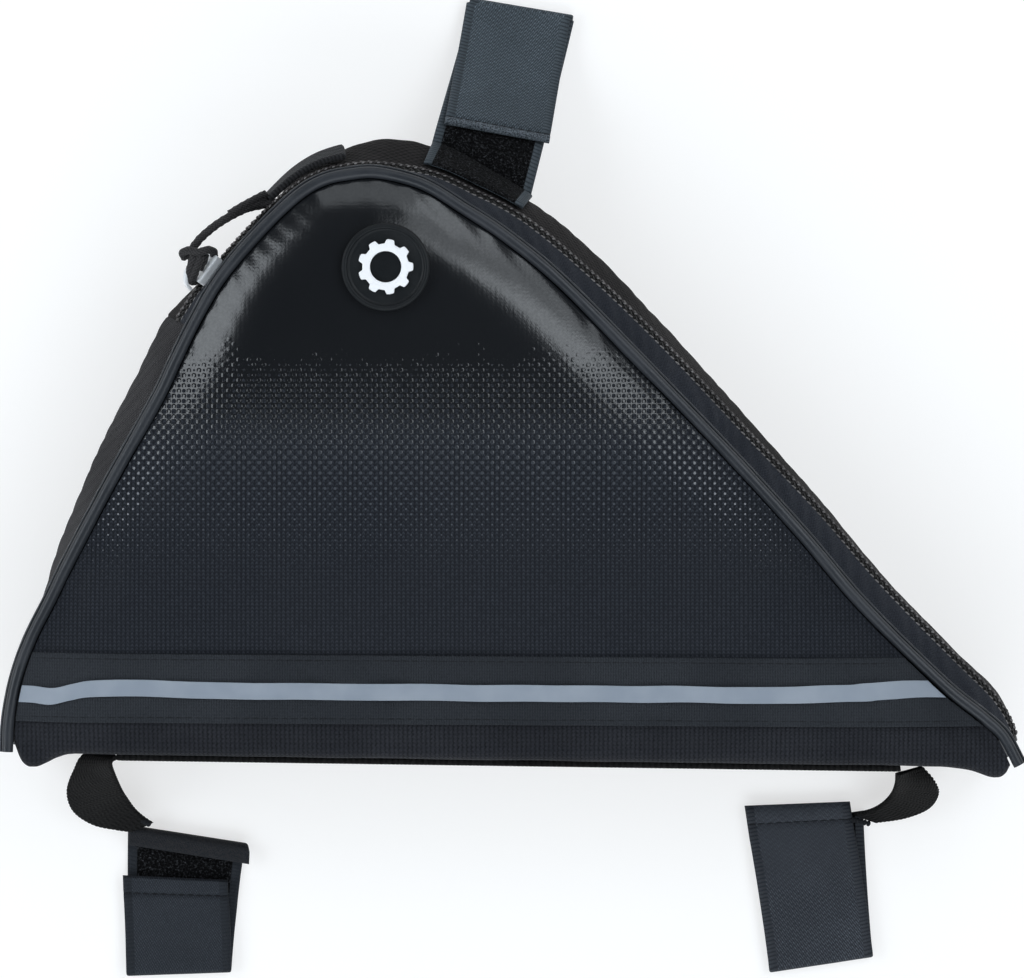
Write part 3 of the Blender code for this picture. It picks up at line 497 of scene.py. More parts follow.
        def find(wanted: Array) -> Array:
            """Return points at lengths along each line, between its known points."""
            wanted = np.clip(wanted, 0, run[:, -1:])
            index = np.clip((run[:, None, :] <= wanted[:, :, None]).sum(axis=2) - 1, 0, run.shape[1] - 2)
            low = np.take_along_axis(run, index, 1)
            high = np.take_along_axis(run, index + 1, 1)
            part = ((wanted - low) / np.maximum(high - low, 1e-9))[..., None]
            first = np.take_along_axis(lines, index[..., None], 1)
            second = np.take_along_axis(lines, index[..., None] + 1, 1)
            return first + (second - first) * part

        step = 0.0006
        here = find(down)
        way = unit(find(down + step) - find(down - step))
        point, along, normal = [v[:, None, :] for v in self.at(share)]
        outward = np.concatenate([-way[..., 1:] * normal, way[..., :1]], axis=-1)
        lower = np.concatenate([way[..., :1] * normal, way[..., 1:]], axis=-1)
        place = np.concatenate([point + normal * here[..., :1], here[..., 1:]], axis=-1)
        flat = np.zeros_like(here[..., :1])
        return place, outward, lower, np.concatenate([along + flat, flat], axis=-1)


# Shader trees

def settle(node: bpy.types.Node, values: dict[str, object]) -> None:
    """Set plain values on a node's own sockets."""
    for key, value in values.items():
        node.inputs[key].default_value = value


class Wiring:
    """Adds nodes to one shader tree and joins them."""

    def __init__(self, tree: bpy.types.NodeTree) -> None:
        """Keep the tree."""
        self.tree = tree

    def node(self, kind: str, **settings: object) -> bpy.types.Node:
        """Add a node and set its plain settings."""
        made = self.tree.nodes.new(kind)
        for name, value in settings.items():
            setattr(made, name, value)
        return made

    def put(self, socket: Socket, value: object) -> None:
        """Join a socket to another, or set its own value."""
        if isinstance(value, bpy.types.NodeSocket):
            self.tree.links.new(value, socket)
        elif isinstance(value, tuple) and len(socket.default_value) == 4:
            socket.default_value = (*value, 1.0)
        else:
            socket.default_value = value

    def math(self, operation: str, *values: object) -> Socket:
        """Return the result of a Math node on sockets or numbers."""
        made = self.node("ShaderNodeMath", operation=operation)
        for socket, value in zip(made.inputs, values):
            self.put(socket, value)
        return made.outputs[0]

    def plus(self, first: object, second: object) -> Socket:
        """Return a sum."""
        return self.math("ADD", first, second)

    def minus(self, first: object, second: object) -> Socket:
        """Return a difference."""
        return self.math("SUBTRACT", first, second)

    def times(self, first: object, second: object) -> Socket:
        """Return a product."""
        return self.math("MULTIPLY", first, second)

    def over(self, first: object, second: object) -> Socket:
        """Return a quotient."""
        return self.math("DIVIDE", first, second)

    def sine(self, turn: Socket, rate: float = 2 * pi) -> Socket:
        """Return the sine of a turn times a rate."""
        return self.math("SINE", self.times(turn, rate))

    def cosine(self, turn: Socket, rate: float = 2 * pi) -> Socket:
        """Return the cosine of a turn times a rate."""
        return self.math("COSINE", self.times(turn, rate))

    def mix(self, share: object, first: object, second: object) -> Socket:
        """Return two colours mixed by a share."""
        made = self.node("ShaderNodeMix", data_type="RGBA")
        self.put(made.inputs[0], share)
        self.put(made.inputs[6], first)
        self.put(made.inputs[7], second)
        return made.outputs[2]

    def remap(self, value: Socket, low: float, high: float, to_low: float = 0.0,
              to_high: float = 1.0) -> Socket:
        """Return a value carried from one range to another, kept within it, with soft ends."""
        made = self.node("ShaderNodeMapRange", interpolation_type="SMOOTHSTEP")
        for socket, number in zip(made.inputs, (value, low, high, to_low, to_high)):
            self.put(socket, number)
        return made.outputs[0]

    def noise(self, vector: Socket, scale: object, detail: float = 2.0) -> Socket:
        """Return the value of a Noise node."""
        made = self.node("ShaderNodeTexNoise")
        self.put(made.inputs["Vector"], vector)
        self.put(made.inputs["Scale"], scale)
        self.put(made.inputs["Detail"], detail)
        return made.outputs[0]

    def split(self, vector: Socket) -> tuple[Socket, Socket, Socket]:
        """Return the three parts of a vector."""
        made = self.node("ShaderNodeSeparateXYZ")
        self.put(made.inputs[0], vector)
        return tuple(made.outputs)

    def place(self, name: str, **values: object) -> Socket | tuple[Socket, ...]:
        """Add a shader group, give its inputs, and return its output, or all of its outputs."""
        made = self.node("ShaderNodeGroup", node_tree=bpy.data.node_groups[name])
        for key, value in values.items():
            self.put(made.inputs[key], value)
        return tuple(made.outputs) if len(made.outputs) > 1 else made.outputs[0]

    def coordinates(self) -> tuple[Socket, Socket]:
        """Return the piece's own cloth coordinates and its place."""
        lay = self.node("ShaderNodeAttribute", attribute_name="lay")
        return lay.outputs["Vector"], self.node("ShaderNodeTexCoord").outputs["Object"]

    def bump(self, shader: bpy.types.Node, height: Socket, strength: float, distance: float) -> Socket:
        """Raise a shader's surface by a height, and return the new normal."""
        made = self.node("ShaderNodeBump")
        settle(made, {"Strength": strength, "Distance": distance})
        self.put(made.inputs["Height"], height)
        self.put(shader.inputs["Normal"], made.outputs[0])
        return made.outputs[0]


def new_group(name: str, inputs: dict[str, float | None], outputs: tuple[str, ...]
              ) -> tuple[Wiring, bpy.types.Node, bpy.types.Node]:
    """Start a shader group.

    Args:
        name: the group's name.
        inputs: each input's name with its number, or None for a vector.
        outputs: the names of the values that it puts out.
    Returns:
        The group's wiring, its input node and its output node.
    """
    tree = bpy.data.node_groups.new(name, "ShaderNodeTree")
    for key, value in inputs.items():
        kind = "NodeSocketVector" if value is None else "NodeSocketFloat"
        made = tree.interface.new_socket(key, in_out="INPUT", socket_type=kind)
        if value is not None:
            made.default_value = value
    for key in outputs:
        tree.interface.new_socket(key, in_out="OUTPUT", socket_type="NodeSocketFloat")
    wiring = Wiring(tree)
    return wiring, wiring.node("NodeGroupInput"), wiring.node("NodeGroupOutput")


class Pattern(Enum):
    """How a cloth's threads lie."""

    KNIT = "knit"
    RIB = "rib"
    TWILL = "twill"
    PLAIN = "plain"
    PILE = "pile"


class Patterns:
    """The shader groups that more than one finish uses."""

    def build(self) -> None:
        """Make the thread patterns, the halftone of the film and the wear."""
        for pattern in Pattern:
            self.threads(pattern)
        self.halftone()
        self.wear()

    @staticmethod
    def threads(pattern: Pattern) -> None:
        """Make one thread pattern: a height from 0 in the grooves to 1 on the threads.

        With u along over the pitch and v across over the row: knit is a column's cosine with a wave
        whose phase runs off to both sides of it, rib is the sine of u, swayed by a wave in v, twill
        is the sine of u plus v crossed by one of u minus v, plain is a checker of sines, and pile is
        fine noise.
        """
        w, into, out = new_group(pattern.value, {"Cloth": None, "Pitch": 0.001, "Row": 0.001}, ("Height",))
        along, across, _ = w.split(into.outputs["Cloth"])
        u = w.over(along, into.outputs["Pitch"])
        v = w.over(across, into.outputs["Row"])
        if pattern is Pattern.PILE:
            scale = w.over(1.0, into.outputs["Pitch"])
            height = w.remap(w.noise(into.outputs["Cloth"], scale, 3.0), 0.3, 0.7)
        elif pattern is Pattern.KNIT:
            beside = w.math("ABSOLUTE", w.minus(w.math("FRACT", u), 0.5))
            loop = w.sine(w.plus(v, w.times(beside, 1.3)))
            height = w.times(w.cosine(beside, pi), w.plus(w.times(loop, 0.4), 0.6))
        elif pattern is Pattern.RIB:
            bar = w.sine(v)
            rib = w.math("ABSOLUTE", w.sine(w.plus(u, w.times(bar, 0.10)), pi))
            height = w.times(w.math("POWER", rib, 0.7), w.plus(w.times(bar, 0.16), 0.84))
        elif pattern is Pattern.TWILL:
            slant = w.math("ABSOLUTE", w.sine(w.plus(u, v), pi))
            cross = w.sine(w.minus(u, v))
            height = w.times(slant, w.plus(w.times(cross, 0.2), 0.8))
        else:
            height = w.plus(w.times(w.times(w.sine(u), w.sine(v)), 0.5), 0.5)
        w.put(out.inputs["Height"], height)

    @staticmethod
    def halftone() -> None:
        """Make the film's staggered dots.

        Film covers a point where a quarter of the sum of two slanting cosines plus a half is below
        the coverage: high coverage leaves round holes, low coverage leaves round dots.
        """
        inputs = {"Place": None, "Coverage": 0.5, "Pitch": 0.00285, "Row": 0.0029}
        w, into, out = new_group("halftone", inputs, ("Film", "Swell"))
        x, y, _ = w.split(into.outputs["Place"])
        u = w.over(x, into.outputs["Pitch"])
        v = w.over(y, into.outputs["Row"])
        both = w.plus(w.cosine(w.plus(u, v)), w.cosine(w.minus(u, v)))
        level = w.plus(w.times(both, 0.25), 0.5)
        over = w.minus(into.outputs["Coverage"], level)
        w.put(out.inputs["Film"], w.remap(over, -0.04, 0.04))
        w.put(out.inputs["Swell"], w.remap(level, 0.50, 0.04))

    @staticmethod
    def wear() -> None:
        """Make broad stains and fine fibres from two noises, for colour and roughness."""
        w, into, out = new_group("wear", {"Place": None, "Broad": 30.0, "Fine": 1800.0}, ("Stain", "Fibre"))
        for key, rate, low, high in (("Stain", "Broad", 0.35, 0.7), ("Fibre", "Fine", 0.3, 0.7)):
            spots = w.noise(into.outputs["Place"], into.outputs[rate], 3.0)
            w.put(out.inputs[key], w.remap(spots, low, high))


def new_material(name: str) -> tuple[bpy.types.Material, Wiring, bpy.types.Node]:
    """Start a material and return it with its wiring and its Principled shader."""
    made = bpy.data.materials.new(name)
    made.use_nodes = True
    return made, Wiring(made.node_tree), made.node_tree.nodes["Principled BSDF"]


@dataclass(frozen=True)
class Cloth:
    """A woven, knitted or piled finish, whose threads follow the piece's own cloth coordinates."""

    name: str
    groove: Colour
    thread: Colour
    pattern: Pattern
    pitch: float
    row: float
    relief: float
    roughness: float = 0.85
    sheen: float = 0.0
    fibre: float = 0.35
    faded: float = 0.25
    gloss: float = 0.16

    def make(self) -> bpy.types.Material:
        """Build the material: threads lighten the crests, and wear varies colour and roughness."""
        made, w, shader = new_material(self.name)
        cloth, place = w.coordinates()
        height = w.place(self.pattern.value, Cloth=cloth, Pitch=self.pitch, Row=self.row)
        stain, fibre = w.place("wear", Place=place)
        colour = w.mix(height, self.groove, self.thread)
        pale = tuple(min(1.0, c * 1.7 + 0.004) for c in self.thread)
        colour = w.mix(w.times(fibre, self.fibre * 0.6), colour, pale)
        colour = w.mix(w.times(stain, self.faded), colour, self.groove)
        w.put(shader.inputs["Base Color"], colour)
        rough = w.remap(stain, 0.0, 1.0, self.roughness - 0.05, min(1.0, self.roughness + 0.05))
        w.put(shader.inputs["Roughness"], rough)
        settle(shader, {"Sheen Weight": self.sheen, "Sheen Roughness": 0.45,
                        "Specular IOR Level": self.gloss})
        w.bump(shader, w.plus(height, w.times(fibre, self.fibre)), 0.9, self.relief)
        return made


@dataclass(frozen=True)
class CoatedCloth:
    """The front's knitted cloth, under a glossy film that thins out downwards in staggered dots."""

    name: str = "coated_cloth_film"
    cloth: Colour = (0.0290, 0.0335, 0.0430)
    groove: Colour = (0.0064, 0.0078, 0.0112)
    film: Colour = (0.0008, 0.0017, 0.0034)
    # Painted highlight: the paler colour that the film's small dots take lower down, standing in for their
    # glints.
    painted_glint: Colour = (0.0560, 0.0640, 0.0770)
    full_above: float = 0.0356
    none_below: float = -0.050
    fall: float = 3.0
    knit_pitch: float = 0.00125
    knit_row: float = 0.00105

    def make(self) -> bpy.types.Material:
        """Build the material: the film's coverage falls with the height as a power of its share."""
        made, w, shader = new_material(self.name)
        cloth, place = w.coordinates()
        _, y, _ = w.split(place)
        height = w.over(w.minus(y, self.none_below), self.full_above - self.none_below)
        coverage = w.math("POWER", w.math("MAXIMUM", height, 0.0), self.fall)
        coverage = w.minus(coverage, 0.03)
        film, swell = w.place("halftone", Place=place, Coverage=coverage)
        grain = w.noise(place, 260.0, 2.0)
        uneven = w.plus(coverage, w.times(grain, 0.9))
        swell = w.times(swell, w.remap(uneven, 1.25, 1.62, 1.0, 0.0))
        knit = w.place("knit", Cloth=cloth, Pitch=self.knit_pitch, Row=self.knit_row)
        stain, fibre = w.place("wear", Place=place, Broad=22.0, Fine=1500.0)
        fabric = w.mix(w.times(knit, w.remap(fibre, 0, 1, 0.6, 1.1)), self.groove, self.cloth)
        # Film colour: dark where the film is whole, and a painted highlight where it thins to small dots.
        film_and_glint = w.mix(w.remap(coverage, 0.05, 0.60), self.painted_glint, self.film)
        w.put(shader.inputs["Base Color"], w.mix(film, fabric, film_and_glint))
        w.put(shader.inputs["Roughness"], w.remap(stain, 0.0, 1.0, 0.70, 0.80))
        w.put(shader.inputs["Coat Weight"], w.times(film, w.remap(fibre, 0.0, 1.0, 1.0, 0.85)))
        settle(shader, {"Coat Roughness": 0.17, "Coat IOR": 1.62, "Specular IOR Level": 0.16})
        cover = w.times(w.minus(1.0, w.times(film, 0.93)), knit)
        relief = w.plus(w.times(cover, 0.8), w.times(swell, 0.95))
        relief = w.plus(relief, w.times(grain, 0.30))
        relief = w.plus(relief, w.times(fibre, 0.05))
        w.put(shader.inputs["Coat Normal"], w.bump(shader, relief, 0.8, 0.00016))
        return made


@dataclass(frozen=True)
class StrapCloth:
    """A hook-and-loop strap: woven backing outside, curly pile inside between ribbed selvedges.

    The third cloth coordinate is 1 on the inner face and -1 on a hem, and the second runs across
    from the strap's middle.
    """

    name: str
    groove: Colour
    thread: Colour
    hem: Colour
    pitch: float
    row: float
    pile_low: Colour = (0.0012, 0.0012, 0.0015)
    pile_high: Colour = (0.0600, 0.0620, 0.0680)
    half_width: float = 0.01525
    selvedge: float = 0.0027

    def make(self) -> bpy.types.Material:
        """Build the material: pile where the inner face is more than a selvedge from its edges."""
        made, w, shader = new_material(self.name)
        cloth, place = w.coordinates()
        _, across, face = w.split(cloth)
        inside = w.remap(w.math("ABSOLUTE", across), self.half_width - self.selvedge,
                         self.half_width - self.selvedge + 0.0003, 1.0, 0.0)
        inner = w.math("GREATER_THAN", face, 0.5)
        hemmed = w.math("LESS_THAN", face, -0.5)
        piled = w.times(inside, inner)
        weave = w.place("plain", Cloth=cloth, Pitch=self.pitch, Row=self.row)
        fine = w.place("twill", Cloth=cloth, Pitch=0.0012, Row=0.0007)
        weave = w.times(w.plus(w.times(weave, 0.6), 0.4), fine)
        rib = w.place("rib", Cloth=cloth, Pitch=0.0011, Row=0.0040)
        pile = w.place("pile", Cloth=place, Pitch=0.0007, Row=0.0007)
        stain, fibre = w.place("wear", Place=place, Broad=45.0, Fine=2400.0)
        lit = w.times(weave, w.remap(fibre, 0.0, 1.0, 0.6, 1.0))
        outside = w.mix(lit, self.groove, self.thread)
        outside = w.mix(w.times(stain, 0.25), outside, self.groove)
        edge = w.mix(rib, self.groove, tuple(0.36 * c for c in self.thread))
        outside = w.mix(w.minus(1.0, inside), outside, edge)
        outside = w.mix(hemmed, outside, w.mix(fibre, self.groove, self.hem))
        tuft = w.mix(w.math("POWER", w.times(pile, fibre), 2.0), self.pile_low, self.pile_high)
        w.put(shader.inputs["Base Color"], w.mix(piled, w.mix(inner, outside, edge), tuft))
        w.put(shader.inputs["Roughness"], w.plus(w.times(piled, 0.35), 0.6))
        settle(shader, {"Specular IOR Level": 0.10, "Sheen Weight": 0.02, "Sheen Roughness": 0.4})
        relief = w.plus(w.times(weave, 0.16), w.times(fibre, 0.12))
        relief = w.plus(relief, w.times(w.times(pile, piled), 0.8))
        w.bump(shader, relief, 0.9, 0.0006)
        return made


@dataclass(frozen=True)
class Moulded:
    """A plain moulded, coated or metal finish with fine grain and worn patches."""

    name: str
    colour: Colour
    worn: Colour
    roughness: float
    grain: float = 900.0
    relief: float = 0.00003
    metallic: float = 0.0
    gloss: float = 0.5

    def make(self) -> bpy.types.Material:
        """Build the material: a broad stain shifts its colour and roughness, and a noise its grain."""
        made, w, shader = new_material(self.name)
        place = w.node("ShaderNodeTexCoord").outputs["Object"]
        stain, fibre = w.place("wear", Place=place, Broad=90.0, Fine=self.grain)
        w.put(shader.inputs["Base Color"], w.mix(stain, self.colour, self.worn))
        rough = w.remap(stain, 0.0, 1.0, self.roughness, min(1.0, self.roughness + 0.12))
        w.put(shader.inputs["Roughness"], rough)
        settle(shader, {"Metallic": self.metallic, "Specular IOR Level": self.gloss})
        w.bump(shader, fibre, 0.6, self.relief)
        return made


class Finishes:
    """Every finish of the bag, made once."""

    def __init__(self) -> None:
        """Build the shader groups and then the materials."""
        Patterns().build()
        self.front = CoatedCloth().make()
        self.twill = Cloth("side_twill", (0.0040, 0.0040, 0.0048), (0.036, 0.034, 0.037), Pattern.TWILL,
                           0.0014, 0.0014, 0.00026, sheen=0.05).make()
        self.coarse = Cloth("zip_side_weave", (0.0025, 0.0025, 0.0028), (0.024, 0.021, 0.021),
                            Pattern.PLAIN, 0.0021, 0.0019, 0.00030).make()
        self.back = Cloth("back_twill", (0.006, 0.006, 0.008), (0.018, 0.019, 0.023), Pattern.TWILL,
                          0.0016, 0.0016, 0.00018, sheen=0.05).make()
        self.rib = Cloth("base_rib", (0.0032, 0.0038, 0.0052), (0.0225, 0.0240, 0.0300), Pattern.RIB,
                         0.00128, 0.0014, 0.00030, sheen=0.03).make()
        self.ribbon = Cloth("ribbon_rib", (0.0110, 0.0125, 0.0155), (0.0290, 0.0325, 0.0385),
                            Pattern.RIB, 0.00071, 0.0009, 0.00014, sheen=0.03).make()
        self.tape = Cloth("zip_tape_weave", (0.0090, 0.0105, 0.0140), (0.031, 0.035, 0.046), Pattern.PLAIN,
                          0.00075, 0.00075, 0.00020, sheen=0.03).make()
        self.piping = Moulded("piping_satin", (0.024, 0.027, 0.032), (0.029, 0.032, 0.038), 0.32,
                              gloss=0.36).make()
        self.coil = Moulded("coil_nylon", (0.0025, 0.0025, 0.0026), (0.0045, 0.004, 0.004), 0.38,
                            gloss=0.25).make()
        self.brown = Moulded("zip_yarn", (0.048, 0.041, 0.041), (0.022, 0.019, 0.020), 0.45,
                             gloss=0.4).make()
        self.sewing = Moulded("zip_thread", (0.200, 0.190, 0.190), (0.110, 0.104, 0.104), 0.40).make()
        self.steel = Moulded("slider_nickel", (0.95, 0.96, 0.97), (0.80, 0.82, 0.84), 0.30,
                             metallic=0.10).make()
        self.braid = Cloth("cord_yarn", (0.006, 0.006, 0.0065), (0.050, 0.047, 0.048), Pattern.TWILL,
                           0.0009, 0.0009, 0.00015, sheen=0.1).make()
        self.grip = Cloth("grip_twill", (0.005, 0.005, 0.0055), (0.036, 0.036, 0.039), Pattern.TWILL,
                          0.0011, 0.0011, 0.00020, sheen=0.1).make()
        self.webbing = Cloth("webbing_weave", (0.0008, 0.0008, 0.0008), (0.0125, 0.0120, 0.0120),
                             Pattern.PLAIN, 0.0017, 0.0014, 0.00035).make()
        self.reflective = Moulded("reflective_grey", (0.245, 0.282, 0.335), (0.285, 0.320, 0.372), 0.52,
                                  grain=2600.0, relief=0.00002).make()
        self.rubber = Moulded("badge_rubber", (0.006, 0.0075, 0.009), (0.009, 0.0105, 0.012), 0.42,
                              grain=1600.0, gloss=0.22).make()
        self.white = Moulded("emblem_white", (0.97, 0.97, 0.98), (0.94, 0.94, 0.96), 0.5).make()
        self.thread = Cloth("dark_thread", (0.006, 0.006, 0.007), (0.022, 0.024, 0.028), Pattern.TWILL,
                            0.0005, 0.0005, 0.00005).make()
        self.left_strap = StrapCloth("strap_fine", (0.0150, 0.0175, 0.0215), (0.0700, 0.0790, 0.0960),
                                     (0.0300, 0.0290, 0.0310), 0.0009, 0.0013).make()
        self.right_strap = StrapCloth("strap_woven", (0.0120, 0.0140, 0.0180), (0.1350, 0.1480, 0.1740),
                                      (0.0300, 0.0290, 0.0310), 0.0014, 0.0022).make()
        self.top_strap = StrapCloth("strap_coarse", (0.0160, 0.0205, 0.0250), (0.2200, 0.2650, 0.3050),
                                    (0.1500, 0.1720, 0.1950), 0.0013, 0.0024).make()


def dress(piece: bpy.types.Object, slot: str, *nodes: str) -> bpy.types.Object:
    """Let a piece ride on the bag, and hide the CAD nodes that it stands for."""
    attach(piece, "root")
    if nodes:
        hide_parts(*nodes)
    LOG.info("%s: %d faces", piece.name, len(piece.data.polygons))
    return piece


# The body

@dataclass
class FrontPanel:
    """The domed front, padded and stretched, with soft dents and a pull towards its seam."""

    form: Form
    finish: bpy.types.Material
    dent: float = 0.00017
    dent_size: float = 0.055
    taut_edge: float = 0.012
    pucker: float = 0.00010
    pucker_pitch: float = 0.0075
    pucker_reach: float = 0.004

    def build(self) -> bpy.types.Object:
        """Make the front: the dome, plus soft ripples, plus puckers that fade away from the seam."""
        flat = self.form.panel(self.form.front_rise, 330, 120)
        x, y = flat[..., 0], flat[..., 1]
        edge = self.form.edge_distance(x, y) - self.form.clear
        z = self.form.front_z(x, y)
        free = np.clip(edge / self.taut_edge, 0, 1)
        z = z + self.dent * free * ripple(x, y, self.dent_size, 3)
        run = self.form.share_at(y, -1) * 0.25 + x * 1.1
        puckers = np.sin(2 * pi * run / self.pucker_pitch + 1.5 * ripple(x, y, 0.03, 5))
        z = z + self.pucker * puckers * np.exp(-edge / self.pucker_reach)
        cover = walled(np.stack([x, y, z], axis=-1), -self.form.panel_wall, 0.0,
                       np.stack([x, y, edge], axis=-1))
        piece = cover.build("front_panel_cover", self.finish)
        dress(piece, "coated_cloth", "front_panel")
        return piece


@dataclass
class BackPanel:
    """The plain back, flat where it lies and softly rounded up to its seam."""

    form: Form
    finish: bpy.types.Material
    ripple_height: float = 0.00025
    ripple_size: float = 0.02
    ripple_reach: float = 0.016

    def build(self) -> bpy.types.Object:
        """Make the back: the CAD form's height, lifted by faint ripples near its seam."""
        flat = self.form.panel(self.form.back_rise, 180, 60)
        x, y = flat[..., 0], flat[..., 1]
        edge = self.form.edge_distance(x, y) - self.form.clear
        near = self.ripple_height * np.clip(1 - edge / self.ripple_reach, 0, 1)
        z = self.form.back_z(x, y) + near * (1 + ripple(x, y, self.ripple_size, 8))
        cover = walled(np.stack([x, y, z], axis=-1), 0.0, self.form.panel_wall,
                       np.stack([x, y, edge], axis=-1))
        return dress(cover.build("back_cover", self.finish), "woven_cloth", "back_panel")


@dataclass
class BaseWrap:
    """The ribbed cloth round the base, from the front seam to the back seam, with an ear at each end.

    The edge table gives shares of the length from the middle, and how far the lower edge drops below
    the base line as a share of ear_drop.
    """

    form: Form
    finish: bpy.types.Material
    wall: float = 0.0016
    ear_drop: float = 0.0040
    ear_x: float = 0.128
    ear_reach: float = 0.012
    fold_pitch: float = 0.009
    fold_height: float = 0.00022
    ripple_height: float = 0.00012
    edge: tuple[tuple[float, float], ...] = (
        (-0.4931, -0.45), (-0.4871, 0.55), (-0.4802, 0.97), (-0.4713, 0.96), (-0.4624, 0.72),
        (-0.4476, 0.18), (-0.4327, 0.00), (-0.4000, 0.00), (0.3800, 0.00), (0.4110, 0.00),
        (0.4278, 0.04), (0.4426, 0.12), (0.4525, 0.28), (0.4624, 0.52), (0.4723, 0.74),
        (0.4822, 0.78), (0.4891, 0.50), (0.4935, -0.05),
    )

    def build(self) -> bpy.types.Object:
        """Make the wrap: each column runs down the front, round two quarter folds and up the back.

        Ripples lift the whole front, and slanting folds lift it near its ears.
        """
        form = self.form
        table = np.array(self.edge)
        middle = np.linspace(-0.40, 0.38, 260)
        share = np.concatenate([smooth(table[:8], 60)[:-1, 0], middle, smooth(table[8:], 60)[1:, 0]])
        knots = np.concatenate([smooth(table[:8], 200), smooth(table[8:], 200)])
        drop = np.interp(share, knots[:, 0], knots[:, 1])
        across = ((share - share[0]) / (share[-1] - share[0]))[:, None]
        low = (form.base_y(share * form.length) - drop * self.ear_drop)[:, None]
        fold = form.base_fold

        def x_at(y: Array) -> Array:
            """Return places across the bag at a height, from its left side to its right."""
            left = form.side_x(y, -1, form.clear)
            return left + (form.side_x(y, 1, form.clear) - left) * across

        seam = (form.base_y(share * form.length) + form.front_rise - form.gap / 2)[:, None]
        y_front = seam + (low + fold - seam) * np.linspace(0, 1, 26)
        z_front = form.front_z(x_at(y_front), y_front)
        turn = np.linspace(0, pi / 2, 9)[1:]
        y_fold = low + fold * (1 - np.sin(turn))
        z_fold = z_front[:, -1:] - fold * (1 - np.cos(turn))
        back_seam = (form.base_y(share * form.length) + form.back_rise - form.gap / 2)[:, None]
        y_back = low + fold + (back_seam - low - fold) * np.linspace(0, 1, 14)
        z_back = form.back_z(x_at(y_back), y_back)
        y_under = low + fold * (1 - np.cos(turn[:-1]))
        z_under = z_back[:, :1] + fold * (1 - np.sin(turn[:-1]))
        flat = np.linspace(0, 1, 10)[1:]
        z_low = z_fold[:, -1:] + (z_back[:, :1] + fold - z_fold[:, -1:]) * flat
        y = np.concatenate([y_front, y_fold, low * np.ones(len(flat)), y_under, y_back], axis=1)
        z = np.concatenate([z_front, z_fold, z_low, z_under, z_back], axis=1)
        x = x_at(y)
        grid = np.stack([x, y, z], axis=-1)
        under = np.clip((z_front[:, -1:] - z) / 0.01, 0, 1)
        ends = np.exp(-np.abs(np.abs(x) - self.ear_x) / self.ear_reach)
        folds = self.fold_height * np.sin(2 * pi * (x + 0.6 * y) / self.fold_pitch) * ends
        swell = (self.ripple_height * ripple(x, y, 0.03, 12) + folds) * (1 - under)
        grid = grid + sheet_normals(grid) * swell[..., None]
        lay = np.stack([x, run_across(grid, 1), under], axis=-1)
        piece = walled(grid, 0.0, self.wall, lay).build("base_wrap_cover", self.finish)
        return dress(piece, "ribbed_cloth", "base_wrap")


@dataclass
class Gusset:
    """The side of the bag: a whole strip below the zip, and cloth in front of the zip and behind it."""

    form: Form
    finishes: Finishes
    pucker_pitch: float = 0.0068
    tape_tuck: float = 0.0009
    back_tuck: float = 0.0016

    def strip(self, name: str, share: Array, first: Array, last: Array, rows: int,
              finish: bpy.types.Material, slack: float, seed: int) -> bpy.types.Object:
        """Make one strip of the gusset.

        It follows the gusset's section between two lengths, and is moved outwards by puckers: a sine
        along the zip whose phase slants across the strip, times a half sine across it.

        Args:
            name: the piece's name.
            share: shares along the outline.
            first: length along each section at which the strip starts.
            last: length at which it ends.
            rows: points across the strip.
            finish: its material.
            slack: how deep its puckers are.
            seed: the start of their random draw.
        Returns:
            The piece.
        """
        over = edge_rows(rows, float(np.mean(last - first)), 0.0012)
        down = first[:, None] + (last - first)[:, None] * over
        place, outward, _, _ = self.form.gusset(share, down)
        run = run_lengths(self.form.at(share)[0])[:, None] * np.ones(len(over))
        phase = 2 * pi * (run + 0.9 * down) / self.pucker_pitch + 2.2 * ripple(run, down, 0.035, seed)
        wave = 0.6 * np.sin(phase) + 0.4 * ripple(run, down * 0.6, 0.016, seed + 1)
        puckers = slack * wave * np.sin(pi * over)
        grid = place + outward * (puckers - slack * 0.5)[..., None]
        lay = np.stack([run, down, over * np.ones_like(run)], axis=-1)
        return walled(grid, -self.form.gusset_wall, 0.0, lay, 0.5).build(name, finish)

    def build(self) -> list[bpy.types.Object]:
        """Make the three strips; the two beside the zip are tucked under its coil."""
        form, cloths = self.form, self.finishes
        half = form.chain_width / 2 + form.gap
        below = np.linspace(0.004, form.zip_start + 0.0008, 130)
        _, low_run, _ = form.sections(below)
        share = np.linspace(form.zip_start, form.zip_end, 560)
        _, run, zip_length = form.sections(share)
        side = self.strip("side_gusset_cloth", below, np.zeros(len(below)), low_run[:, -1], 40,
                          cloths.twill, 0.00020, 21)
        dress(side, "woven_cloth", "side_gusset")
        tape = self.strip("zip_tape_cloth", share, np.zeros(len(share)),
                          zip_length - half + self.tape_tuck, 22, cloths.tape, 0.00030, 31)
        dress(tape, "zip_tape", "front_zip_tape")
        back = self.strip("back_gusset_cloth", share, zip_length + half - self.back_tuck, run[:, -1], 34,
                          cloths.coarse, 0.00016, 41)
        dress(back, "woven_cloth", "back_gusset")
        return [side, tape, back]


